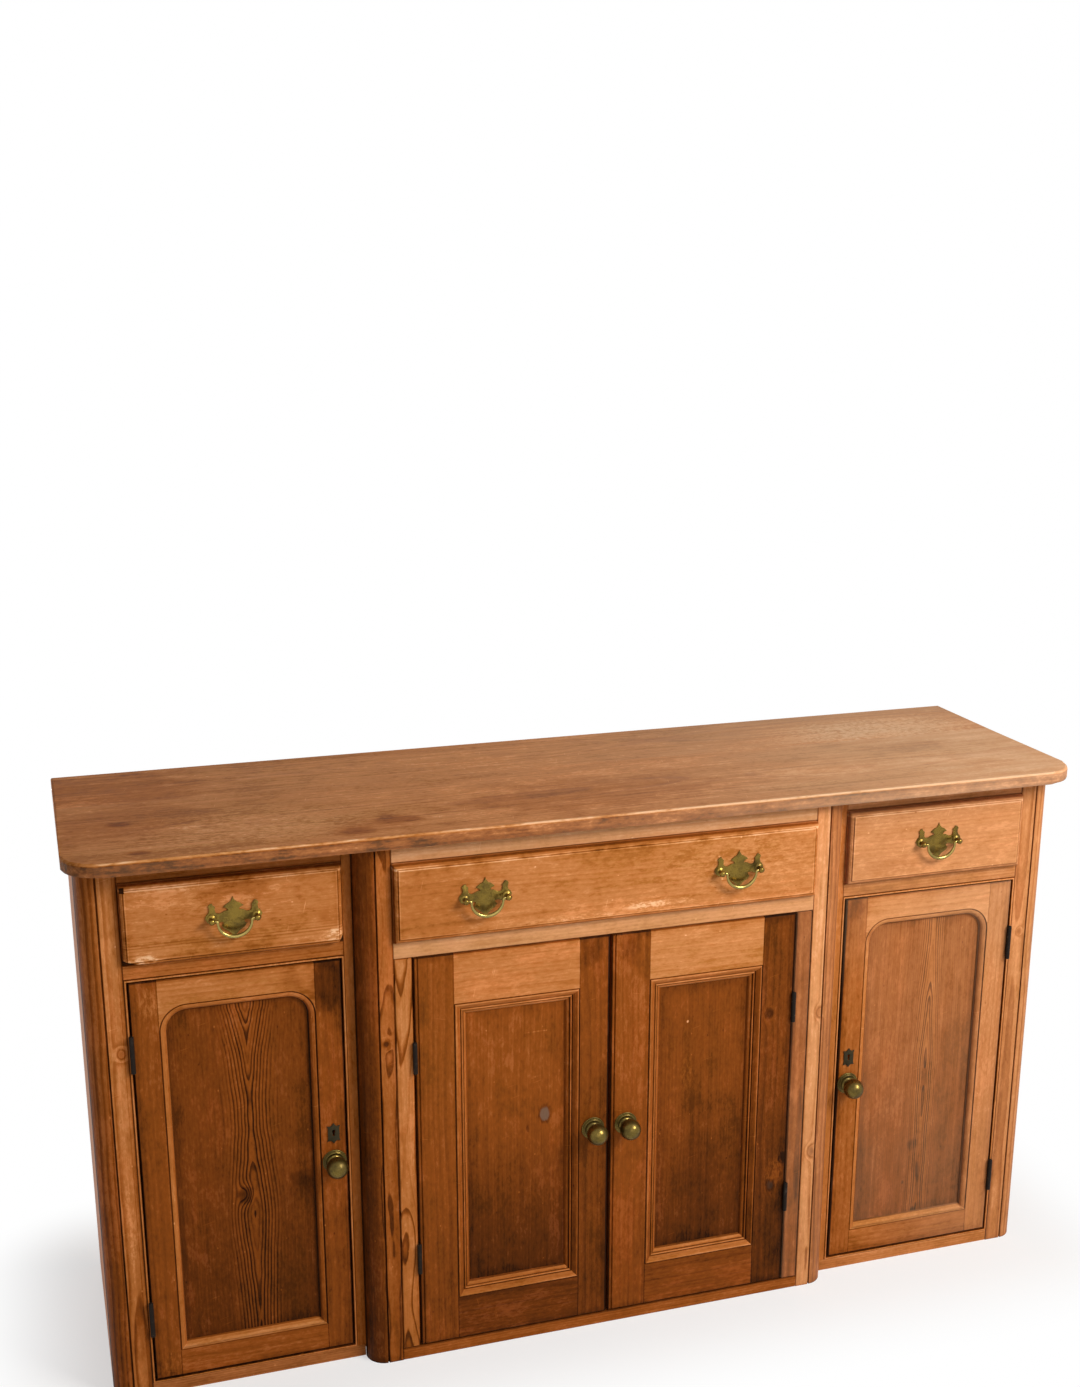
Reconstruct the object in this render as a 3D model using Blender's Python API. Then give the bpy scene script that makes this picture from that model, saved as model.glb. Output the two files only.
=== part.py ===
"""Breakfront pine dresser base: a centre section with one wide drawer over a pair of doors, standing
forward of two side sections with one drawer over one door each.

X runs along the front, Y towards the back and Z up, in metres. The floor is Z = 0, and the origin is
on the floor below the middle of the worktop. Pieces that touch keep the FIT clearance.
"""

import math

import bmesh
import bpy
from mathutils import Vector

FIT = 0.0003

# Worktop: two boards joined edge to edge, with rounded front corners
TOP_LENGTH = 1.630
TOP_DEPTH = 0.460
TOP_HEIGHT = 0.900
TOP_THICKNESS = 0.021
TOP_CORNER_RADIUS = 0.055
TOP_FRONT_BOARD = 0.280
TOP_ARRIS = 0.0035
END_OVERHANG = 0.015
CENTRE_OVERHANG = 0.022

# Front plan, from the ends inwards
BREAKFRONT_STEP = 0.031
CORNER_ROUND = 0.030
CORNER_STILE = 0.029
SIDE_OPENING = 0.325
INNER_STILE = 0.0134
CENTRE_STILE = 0.0241
FILLER_WIDTH = 0.0282
QUIRK_WIDTH = 0.0026
QUIRK_DEPTH = 0.0032

# Boards of the carcass
FRAME_THICKNESS = 0.022
END_THICKNESS = 0.020
DIVIDER_THICKNESS = 0.0195
BACK_THICKNESS = 0.012
BACK_INSET = 0.002
BACK_BOARDS = 12
BACK_GROOVE = 0.003
BOTTOM_THICKNESS = 0.020
TOP_RAIL_HEIGHT = 0.0285
DRAWER_OPENING = 0.1268
SIDE_RAIL = 0.0224
CENTRE_RAIL = 0.0262
BOARD_ARRIS = 0.0008
FILLER_ARRIS = 0.0022

# Bead planted round each side door's opening
BEAD_WIDTH = 0.0042
BEAD_DEPTH = 0.0095
BEAD_PROUD = 0.001

# Doors
SIDE_DOOR_GAP = 0.0019
CENTRE_DOOR_GAP = 0.0022
MEETING_GAP = 0.004
DOOR_ARRIS = 0.0012
PANEL_TONGUE = 0.008
SIDE_STILE = 0.040
SIDE_TOP_MEMBER = 0.0415
SIDE_BOTTOM_MEMBER = 0.046
SIDE_MOULD_WIDTH = 0.012
SIDE_SILL_BEVEL = 0.010
SIDE_RECESS = 0.009
SIDE_PANEL = 0.0075
ARCH_RADIUS = 0.030
CENTRE_TOP_MEMBER = 0.083
CENTRE_BOTTOM_MEMBER = 0.075
LEFT_HINGE_STILE = 0.062
LEFT_MEETING_STILE = 0.049
RIGHT_HINGE_STILE = 0.055
RIGHT_MEETING_STILE = 0.064
CENTRE_MOULD_WIDTH = 0.022
CENTRE_RECESS = 0.012
CREST_RADIUS = 0.0018
CREST_PROUD = 0.001
INNER_BEAD = 0.0016
INNER_BEAD_IN = 0.0088
INNER_BEAD_DEPTH = 0.0056
MOULD_QUIRK = 0.001
CENTRE_PANEL = 0.0062
EDGE_BEAD = 0.0056
EDGE_QUIRK_WIDTH = 0.0016
EDGE_QUIRK_DEPTH = 0.0024

# Butt hinges
BARREL_RADIUS = 0.0034
LEAF_THICKNESS = 0.0011
LEAF_DEPTH = 0.016
SIDE_HINGE_LENGTH = 0.058
CENTRE_HINGE_LENGTH = 0.051
SIDE_HINGE_FROM_TOP = 0.111
SIDE_HINGE_FROM_BOTTOM = 0.110
CENTRE_HINGE_FROM_TOP = 0.163
CENTRE_HINGE_FROM_BOTTOM = 0.160

# Drawers: a proud front with moulded edges on an open box
FRONT_PROUD = 0.013
FRONT_THICKNESS = 0.022
FRONT_EDGE = 0.007
FRONT_EDGE_DEPTH = 0.009
FRONT_QUIRK = 0.001
FRONT_GAP = 0.0013
CHIP_LENGTH = 0.034
CHIP_HEIGHT = 0.010
BOX_GAP = 0.0015
BOX_WALL = 0.010
BOX_BOTTOM = 0.007
BOX_HEIGHT = 0.100
BOX_BACK_GAP = 0.012

# Drawer pulls
POST_SPACING = 0.066
PLATE_THICKNESS = 0.0018
POST_REACH = 0.011
POST_RADIUS = 0.0036
POST_BALL = 0.0052
POST_SIDES = 12
COLLAR_RADIUS = 0.0065
COLLAR_HEIGHT = 0.0011
BORE_RADIUS = 0.0018
PIN_RADIUS = 0.0014
BAIL_RADIUS = 0.003
BAIL_KNUCKLE = 0.0023
BAIL_HALF_WIDTH = 0.0247
BAIL_DROP = 0.026
BAIL_BEND = 0.003
CENTRE_PULL_FROM_END = 0.1405

# Knobs, escutcheons and locks on the doors
KNOB_RADIUS = 0.017
KNOB_NECK = 0.0075
KNOB_REACH = 0.041
ROSE_RADIUS = 0.019
ROSE_THICKNESS = 0.0036
ROSE_RIM = 0.9
ROSE_HOLLOW = 0.72
NECK_FLARE = 1.25
SIDE_KNOB_HEIGHT = 0.360
CENTRE_KNOB_HEIGHT = 0.366
CENTRE_KNOB_FROM_EDGE = 0.026
ESCUTCHEON_ABOVE_KNOB = 0.047
ESCUTCHEON_THICKNESS = 0.0014
KEYHOLE_RADIUS = 0.0026
KEYHOLE_SLOT = 0.0032
KEYHOLE_DROP = 0.008
BOLT_LENGTH = 0.030
BOLT_THICKNESS = 0.006
BOLT_HEIGHT = 0.018
BOLT_SETBACK = 0.0005
BOLT_THROW = 0.011
STRIKE_SPARE = 0.002

# Smoothness of the round pieces
ROUND_STEPS = 8
ARCH_STEPS = 6
TURNED_STEPS = 16
TUBE_SIDES = 8
BOW_STEPS = 6
SHARP_ANGLE = math.radians(40)

# Places that follow from the sizes
END_FACE = TOP_LENGTH / 2 - END_OVERHANG
FRONT = -TOP_DEPTH / 2
BACK = TOP_DEPTH / 2 - BACK_INSET
CENTRE_FACE = FRONT + CENTRE_OVERHANG
SIDE_FACE = CENTRE_FACE + BREAKFRONT_STEP
POST_BACK = SIDE_FACE + CORNER_ROUND
CARCASS_TOP = TOP_HEIGHT - TOP_THICKNESS - FIT
END_INSIDE = END_FACE - END_THICKNESS
OPENING_OUT = END_FACE - CORNER_ROUND - CORNER_STILE
OPENING_IN = OPENING_OUT - SIDE_OPENING
ROUND_OUT = OPENING_IN - INNER_STILE
CENTRE_OPENING = ROUND_OUT - BREAKFRONT_STEP - CENTRE_STILE
DIVIDER_INSIDE = OPENING_IN - DIVIDER_THICKNESS
STILE_BACK = SIDE_FACE + FRAME_THICKNESS
INSIDE_BACK = BACK - BACK_THICKNESS - FIT
RAIL_UNDER_TOP = CARCASS_TOP - TOP_RAIL_HEIGHT
BOARD_TOP = RAIL_UNDER_TOP - DRAWER_OPENING
SIDE_RAIL_UNDER = BOARD_TOP - SIDE_RAIL
CENTRE_RAIL_UNDER = BOARD_TOP - CENTRE_RAIL
FLOOR_INSIDE = BOTTOM_THICKNESS + FIT
LEFT, RIGHT = -1, 1
SIDES = {"left": LEFT, "right": RIGHT}


def clear_scene():
    for old in list(bpy.data.objects):
        bpy.data.objects.remove(old, do_unlink=True)


def make_material(name, colour, roughness, metallic=0.0):
    made = bpy.data.materials.new(name)
    made.use_nodes = True
    shader = made.node_tree.nodes["Principled BSDF"]
    shader.inputs["Base Color"].default_value = (*colour, 1.0)
    shader.inputs["Roughness"].default_value = roughness
    shader.inputs["Metallic"].default_value = metallic
    return made


def make_pivot(name, place):
    """An empty on a joint's axis, which carries the pieces of that moving body."""
    pivot = bpy.data.objects.new(name, None)
    pivot.location = place
    bpy.context.collection.objects.link(pivot)
    return pivot


def mesh_of(shape, name, smooth=False):
    bmesh.ops.recalc_face_normals(shape, faces=shape.faces)
    mesh = bpy.data.meshes.new(name)
    shape.to_mesh(mesh)
    shape.free()
    if smooth:
        mesh.shade_smooth()
        mesh.set_sharp_from_angle(angle=SHARP_ANGLE)
    return mesh


def place(name, shape, material, pivot=None, smooth=False):
    """Makes a named object of a shape given in world positions, carried by a pivot if it moves."""
    if pivot:
        bmesh.ops.translate(shape, verts=shape.verts, vec=-pivot.location)
    mesh = mesh_of(shape, name, smooth)
    mesh.materials.append(material)
    made = bpy.data.objects.new(name, mesh)
    made.parent = pivot
    bpy.context.collection.objects.link(made)
    return made


def place_copy(name, mesh, material, at, pivot):
    """Makes a named object of a shared mesh, with the mesh's own origin at the given place."""
    if not mesh.materials:
        mesh.materials.append(material)
    made = bpy.data.objects.new(name, mesh)
    made.parent = pivot
    made.location = Vector(at) - pivot.location
    bpy.context.collection.objects.link(made)
    return made


def skin(loops, closed=False):
    """A shape through loops of as many points each: capped at both ends, or closed into a ring."""
    shape = bmesh.new()
    rows = [[shape.verts.new(point) for point in loop] for loop in loops]
    pairs = list(zip(rows, rows[1:]))
    if closed:
        pairs.append((rows[-1], rows[0]))
    else:
        shape.faces.new(rows[0])
        shape.faces.new(rows[-1])
    count = len(rows[0])
    for low, high in pairs:
        for i in range(count):
            j = (i + 1) % count
            shape.faces.new((low[i], low[j], high[j], high[i]))
    return shape


def prism(outline, low, high, along="z"):
    """An outline extruded along an axis: its points are (x, y) along z, (x, z) along y, (y, z) along x."""
    place_point = {
        "z": lambda a, b, level: (a, b, level),
        "y": lambda a, b, level: (a, level, b),
        "x": lambda a, b, level: (level, a, b),
    }[along]
    return skin([[place_point(a, b, level) for a, b in outline] for level in (low, high)])


def rectangle(low, high):
    return [(low[0], low[1]), (high[0], low[1]), (high[0], high[1]), (low[0], high[1])]


def mirrored(outline, side):
    return [(side * a, b) for a, b in outline]


def arc(centre, radius, start, end, steps):
    """Points of an arc between two angles in degrees, both ends included."""
    turns = [math.radians(start + (end - start) * i / steps) for i in range(steps + 1)]
    return [(centre[0] + radius * math.cos(t), centre[1] + radius * math.sin(t)) for t in turns]


def bulged(corners, steps):
    """An outline from (a, b, bulge) corners. A bulge is the tangent of a quarter of the arc's angle
    up to the next corner: positive bows outwards on an outline that runs anticlockwise."""
    points = []
    for (a, b, bulge), (c, d, _) in zip(corners, corners[1:]):
        start, end = complex(a, b), complex(c, d)
        if not bulge:
            points.append((a, b))
            continue
        angle = 4 * math.atan(bulge)
        centre = (start + end) / 2 + 1j * (end - start) / 2 / math.tan(angle / 2)
        for i in range(steps):
            turned = complex(math.cos(angle * i / steps), math.sin(angle * i / steps))
            point = centre + (start - centre) * turned
            points.append((point.real, point.imag))
    return points


def turned(profile, steps=TURNED_STEPS):
    """A profile of (radius, y) turned about the Y axis, from its first end to its last."""
    loops = []
    for radius, level in profile:
        angles = [2 * math.pi * i / steps for i in range(steps)]
        loops.append([(radius * math.cos(t), level, radius * math.sin(t)) for t in angles])
    return skin(loops)


def eased(shape, width=BOARD_ARRIS):
    """Takes the sharp arrises off a board, leaving its inside corners as they are."""
    bmesh.ops.recalc_face_normals(shape, faces=shape.faces)
    sharp = [edge for edge in shape.edges if edge.calc_face_angle_signed() > SHARP_ANGLE]
    bmesh.ops.bevel(shape, geom=sharp, offset=width, segments=1, affect="EDGES")
    return shape


def combined(base, others, operation):
    """The mesh of a shape after others are joined to it or cut from it."""
    body = bpy.data.objects.new("body", mesh_of(base, "body"))
    bpy.context.collection.objects.link(body)
    helpers = [body]
    for other in others:
        tool = bpy.data.objects.new("tool", mesh_of(other, "tool"))
        tool.hide_render = True
        tool.display_type = "WIRE"
        bpy.context.collection.objects.link(tool)
        helpers.append(tool)
        step = body.modifiers.new("step", "BOOLEAN")
        step.operation = operation
        step.solver = "EXACT"
        step.object = tool
    graph = bpy.context.evaluated_depsgraph_get()
    shape = bmesh.new()
    shape.from_object(body, graph)
    for helper in helpers:
        bpy.data.objects.remove(helper, do_unlink=True)
    return shape


def make_worktop(pine):
    """Front board with two rounded corners, and a back board behind the seam."""
    half = TOP_LENGTH / 2
    under = TOP_HEIGHT - TOP_THICKNESS
    seam = FRONT + TOP_FRONT_BOARD
    radius = TOP_CORNER_RADIUS
    outline = [(half, seam - FIT / 2), (-half, seam - FIT / 2)]
    outline += arc((-half + radius, FRONT + radius), radius, 180, 270, ROUND_STEPS)
    outline += arc((half - radius, FRONT + radius), radius, 270, 360, ROUND_STEPS)
    back = rectangle((-half, seam + FIT / 2), (half, TOP_DEPTH / 2))
    for name, shape_outline in (("worktop_front_board", outline), ("worktop_back_board", back)):
        shape = prism(shape_outline, under, TOP_HEIGHT)
        rims = []
        for edge in shape.edges:
            first, second = (vert.co for vert in edge.verts)
            level = abs(first.z - second.z) < FIT
            on_seam = abs(first.y - seam) < FIT and abs(second.y - seam) < FIT
            if level and not on_seam:
                rims.append(edge)
        bmesh.ops.bevel(
            shape, geom=rims, offset=TOP_ARRIS, segments=2, profile=0.5, affect="EDGES", clamp_overlap=True
        )
        place(name, shape, pine, smooth=True)


def round_post(inner, quirk, centre, radius):
    """Front of a post in plan: a flat stile, a quirk and a quarter round that ends at its side."""
    face = centre[1] - radius
    sunk = face + QUIRK_DEPTH
    start = math.degrees(math.asin(QUIRK_WIDTH / 2 / radius))
    points = [(inner, face), (quirk - QUIRK_WIDTH / 2, face), (quirk - QUIRK_WIDTH / 4, sunk)]
    points += [(quirk + QUIRK_WIDTH / 4, sunk)]
    return points + arc(centre, radius, -90 + start, 0, ROUND_STEPS)


def make_posts(pine):
    """Corner posts at the ends, and the posts that carry the front forward to the centre section."""
    for word, side in SIDES.items():
        quirk = END_FACE - CORNER_ROUND
        plan = round_post(OPENING_OUT, quirk, (quirk, POST_BACK), CORNER_ROUND)
        plan.append((OPENING_OUT, POST_BACK))
        shape = prism(mirrored(plan, side), 0, CARCASS_TOP)
        place(f"corner_post_{word}", shape, pine, smooth=True)

        quirk = ROUND_OUT - BREAKFRONT_STEP
        plan = round_post(CENTRE_OPENING, quirk, (quirk, SIDE_FACE), BREAKFRONT_STEP)
        rebate = DIVIDER_INSIDE - FIT
        plan += [(rebate, SIDE_FACE), (rebate, STILE_BACK), (CENTRE_OPENING, STILE_BACK)]
        shape = prism(mirrored(plan, side), 0, CARCASS_TOP)
        place(f"breakfront_post_{word}", shape, pine, smooth=True)


def lock_height():
    return SIDE_KNOB_HEIGHT + ESCUTCHEON_ABOVE_KNOB


def bead_front():
    """Where the rounded front of the bead round a side door begins."""
    return SIDE_FACE - BEAD_PROUD + BEAD_WIDTH / 2


def bolt_levels():
    """Front and back of the lock bolt, which passes behind the bead."""
    front = bead_front() + BEAD_DEPTH + 2 * FIT
    return front, front + BOLT_THICKNESS


def make_panels(pine):
    """End panels, dividers with the strike mortises of the locks, and the grooved back boards."""
    for word, side in SIDES.items():
        plan = rectangle((END_INSIDE, POST_BACK + FIT), (END_FACE, BACK))
        place(f"end_panel_{word}", eased(prism(mirrored(plan, side), 0, CARCASS_TOP)), pine)

        plan = rectangle((DIVIDER_INSIDE, SIDE_FACE + FIT), (OPENING_IN, INSIDE_BACK))
        board = prism(mirrored(plan, side), FLOOR_INSIDE, CARCASS_TOP)
        front, back = bolt_levels()
        reach = BOLT_THROW + STRIKE_SPARE - SIDE_DOOR_GAP - BEAD_WIDTH - FIT - BOLT_SETBACK
        cut = rectangle((OPENING_IN - reach, front - FIT), (OPENING_IN + FIT, back + FIT))
        half = BOLT_HEIGHT / 2 + FIT
        mortise = prism(mirrored(cut, side), lock_height() - half, lock_height() + half)
        place(f"divider_{word}", combined(board, [mortise], "DIFFERENCE"), pine)

    half = END_INSIDE - FIT
    pitch = 2 * half / BACK_BOARDS
    plan = [(-half, BACK - BACK_THICKNESS), (half, BACK - BACK_THICKNESS), (half, BACK)]
    for i in reversed(range(1, BACK_BOARDS)):
        seam = -half + i * pitch
        plan += [(seam + BACK_GROOVE, BACK), (seam, BACK - BACK_GROOVE), (seam - BACK_GROOVE, BACK)]
    plan.append((-half, BACK))
    place("back_boards", prism(plan, 0, CARCASS_TOP), pine)


def make_boards(pine):
    """Bottom board, drawer boards whose front edges are the rails, and the rails under the worktop."""
    notch = CENTRE_OPENING - FIT
    half = [(notch, CENTRE_FACE), (notch, STILE_BACK + FIT), (ROUND_OUT + FIT, STILE_BACK + FIT)]
    half += [(ROUND_OUT + FIT, SIDE_FACE), (OPENING_OUT - FIT, SIDE_FACE)]
    half += [(OPENING_OUT - FIT, POST_BACK + FIT), (END_INSIDE - FIT, POST_BACK + FIT)]
    half.append((END_INSIDE - FIT, INSIDE_BACK))
    plan = half + list(reversed(mirrored(half, LEFT)))
    place("bottom_board", eased(prism(plan, 0, BOTTOM_THICKNESS)), pine)

    inner, outer = OPENING_IN + FIT, OPENING_OUT - FIT
    plan = [(inner, SIDE_FACE), (outer, SIDE_FACE), (outer, POST_BACK + FIT)]
    plan += [(END_INSIDE - FIT, POST_BACK + FIT), (END_INSIDE - FIT, INSIDE_BACK), (inner, INSIDE_BACK)]
    rail = rectangle((inner, SIDE_FACE), (outer, STILE_BACK))
    for word, side in SIDES.items():
        board = prism(mirrored(plan, side), SIDE_RAIL_UNDER, BOARD_TOP)
        place(f"drawer_board_{word}", eased(board), pine)
        strip = prism(mirrored(rail, side), RAIL_UNDER_TOP, CARCASS_TOP)
        place(f"top_rail_{word}", eased(strip), pine)

    behind = DIVIDER_INSIDE - FIT
    half = [(notch, CENTRE_FACE), (notch, STILE_BACK + FIT), (behind, STILE_BACK + FIT)]
    half.append((behind, INSIDE_BACK))
    plan = half + list(reversed(mirrored(half, LEFT)))
    place("drawer_board_centre", eased(prism(plan, CENTRE_RAIL_UNDER, BOARD_TOP)), pine)
    rail = rectangle((-notch, CENTRE_FACE), (notch, CENTRE_FACE + FRAME_THICKNESS))
    place("top_rail_centre", eased(prism(rail, RAIL_UNDER_TOP, CARCASS_TOP)), pine)


def filler_edge():
    return CENTRE_OPENING - FIT - FILLER_WIDTH


def make_trim(pine):
    """Filler strips beside the centre doors, and the beads round the side doors' openings."""
    for word, side in SIDES.items():
        back = CENTRE_FACE + FRAME_THICKNESS
        plan = rectangle((filler_edge(), CENTRE_FACE), (CENTRE_OPENING - FIT, back))
        strip = prism(mirrored(plan, side), FLOOR_INSIDE, CENTRE_RAIL_UNDER - FIT)
        place(f"filler_strip_{word}", eased(strip, FILLER_ARRIS), pine)

        low = (OPENING_IN + FIT, FLOOR_INSIDE)
        high = (OPENING_OUT - FIT, SIDE_RAIL_UNDER - FIT)
        nose = arc((BEAD_WIDTH / 2, 0), BEAD_WIDTH / 2, 180, 360, 4)
        section = [(inset, bead_front() + level) for inset, level in nose]
        back = bead_front() + BEAD_DEPTH
        section += [(BEAD_WIDTH, back), (0, back)]
        loops = []
        for inset, level in section:
            corners = rectangle((low[0] + inset, low[1] + inset), (high[0] - inset, high[1] - inset))
            loops.append([(side * a, level, b) for a, b in corners])
        place(f"door_bead_{word}", skin(loops, closed=True), pine, smooth=True)


def arched(low, high, radius, steps=ARCH_STEPS):
    """A door outline with its two top corners rounded."""
    points = [(low[0], low[1]), (high[0], low[1])]
    points += arc((high[0] - radius, high[1] - radius), radius, 0, 90, steps)
    return points + arc((low[0] + radius, high[1] - radius), radius, 90, 180, steps)


def squared(low, high, spread, steps=ARCH_STEPS):
    """The same number of points as an arched outline, on a plain rectangle."""
    half = steps // 2
    shares = [i / half for i in range(half + 1)]
    points = [(low[0], low[1]), (high[0], low[1])]
    points += [(high[0], high[1] - spread * (1 - share)) for share in shares]
    points += [(high[0] - spread * share, high[1]) for share in shares[1:]]
    points += [(low[0] + spread * (1 - share), high[1]) for share in shares]
    return points + [(low[0], high[1] - spread * share) for share in shares[1:]]


def ovolo(width, depth, quirk, steps=5):
    """A stuck moulding as (distance from the sight edge, depth below the face), from the face down."""
    curve = arc((width - quirk, depth - quirk), 1, -90, -180, steps)
    sweep_width, sweep_depth = width - 2 * quirk, depth - 2 * quirk
    points = [(width, 0), (width - quirk / 2, quirk)]
    for a, b in curve:
        across = a - (width - quirk)
        down = b - (depth - quirk) + 1
        points.append((width - quirk + across * sweep_width, quirk / 2 + down * sweep_depth))
    return points + [(0, depth - quirk)]


def planted(width, depth):
    """A planted moulding as (distance, depth): a proud crest, a long slope, a bead and a short slope."""
    quirk = MOULD_QUIRK
    crest = (width - quirk - CREST_RADIUS, CREST_RADIUS - CREST_PROUD)
    bead = (INNER_BEAD_IN, INNER_BEAD_DEPTH)
    outer_foot = (INNER_BEAD_IN + INNER_BEAD + quirk, INNER_BEAD_DEPTH - INNER_BEAD)
    inner_foot = (INNER_BEAD_IN - INNER_BEAD - quirk, INNER_BEAD_DEPTH + quirk / 2)
    end = (quirk / 4, depth - quirk / 2)
    points = [(width, 0), (width - quirk / 2, quirk)]
    points += arc(crest, CREST_RADIUS, 0, -130, 4)
    points += [swelled(points[-1], outer_foot, quirk / 2), outer_foot]
    points.append((outer_foot[0] - quirk / 2, INNER_BEAD_DEPTH + quirk / 4))
    points += arc(bead, INNER_BEAD, 10, -190, 5)
    points.append((inner_foot[0] + quirk / 2, INNER_BEAD_DEPTH + quirk))
    return points + [inner_foot, swelled(inner_foot, end, quirk), end]


def swelled(start, end, rise):
    """The point halfway between two, lifted so that the slope swells."""
    return (start[0] + end[0]) / 2, (start[1] + end[1]) / 2 - rise


def make_door(name, door, material, pivot):
    """A framed door: members with a moulding worked on their inner edges, and a panel in a groove.

    door holds low and high, the door's corners in the front; sight_low and sight_high, the corners of
    the panel that shows; face, the front level; moulding, sill and top radius of its inner edge, which
    is mitred where the radius is 0; and cuts, what is taken out of the members afterwards."""
    low, high = door["low"], door["high"]
    face, depth = door["face"], door["recess"]
    groove, thick = PANEL_TONGUE + FIT, door["panel"] + 2 * FIT
    spread = door["radius"] + PANEL_TONGUE

    def outer(inset, level):
        a = (low[0] + inset, low[1] + inset)
        b = (high[0] - inset, high[1] - inset)
        return [(x, face + level, z) for x, z in squared(a, b, spread)]

    def inner(offset, level, sill=None):
        drop = offset if sill is None else sill
        a = (door["sight_low"][0] - offset, door["sight_low"][1] - drop)
        b = (door["sight_high"][0] + offset, door["sight_high"][1] + offset)
        radius = door["radius"]
        outline = arched(a, b, radius + offset) if radius else squared(a, b, spread)
        return [(x, face + level, z) for x, z in outline]

    loops = [outer(0, DOOR_ARRIS), outer(DOOR_ARRIS, 0)]
    for offset, level in door["moulding"]:
        sill = door["sill"] * (1 - level / depth) if door["sill"] else None
        loops.append(inner(offset, level, sill))
    loops += [inner(0, depth), inner(groove, depth), inner(groove, depth + thick)]
    loops += [inner(0, depth + thick), inner(0, FRAME_THICKNESS)]
    loops += [outer(DOOR_ARRIS, FRAME_THICKNESS), outer(0, FRAME_THICKNESS - DOOR_ARRIS)]
    frame = skin(loops, closed=True)
    frame = combined(frame, door["cuts"], "DIFFERENCE")
    place(f"door_frame_{name}", frame, material, pivot, smooth=True)

    tongue = PANEL_TONGUE
    panel = skin([inner(tongue, depth + FIT), inner(tongue, depth + thick - FIT)])
    place(f"door_panel_{name}", panel, material, pivot)


def edge_bead(edge, face, bottom, top):
    """What is cut away to leave a bead and its quirk on the door's edge that looks left."""
    radius = EDGE_BEAD / 2
    centre = (edge + radius, face + FIT + radius)
    start = -math.degrees(math.asin((centre[1] - face - EDGE_QUIRK_DEPTH) / radius))
    nose = arc(centre, radius, start, -165, 6)
    quirk = edge + EDGE_BEAD + EDGE_QUIRK_WIDTH
    plan = [(edge - FIT, nose[-1][1]), (edge - FIT, face - FIT), (quirk, face - FIT)]
    plan += [(quirk - EDGE_QUIRK_WIDTH / 2, face + EDGE_QUIRK_DEPTH), *nose]
    return prism(plan, bottom - FIT, top + FIT)


def side_door_edges():
    """Inner and outer edge of a side door, from the centre line."""
    clear = FIT + BEAD_WIDTH + SIDE_DOOR_GAP
    return OPENING_IN + clear, OPENING_OUT - clear


def side_door_levels():
    clear = BEAD_WIDTH + SIDE_DOOR_GAP
    return FLOOR_INSIDE + clear, SIDE_RAIL_UNDER - FIT - clear


def centre_door_edges():
    """Meeting edge and hinge edge of a centre door, from the centre line."""
    return MEETING_GAP / 2, filler_edge() - CENTRE_DOOR_GAP


def centre_door_levels():
    return BOTTOM_THICKNESS + CENTRE_DOOR_GAP, CENTRE_RAIL_UNDER - CENTRE_DOOR_GAP


def hinge_axis(name):
    """Where a door's hinge pins stand in plan: in front of the gap beside the door."""
    section, word = name.split("_") if "_" in name else ("side", name)
    if section == "side":
        return (
            SIDES[word] * (side_door_edges()[1] + SIDE_DOOR_GAP / 2),
            SIDE_FACE - BEAD_PROUD - BARREL_RADIUS - FIT,
        )
    return SIDES[word] * (filler_edge() - CENTRE_DOOR_GAP / 2), CENTRE_FACE - BARREL_RADIUS - FIT


def flipped(low, high, side):
    """Corners of an outline on the given side of the centre line."""
    a, b = sorted((side * low[0], side * high[0]))
    return (a, low[1]), (b, high[1])


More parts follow.
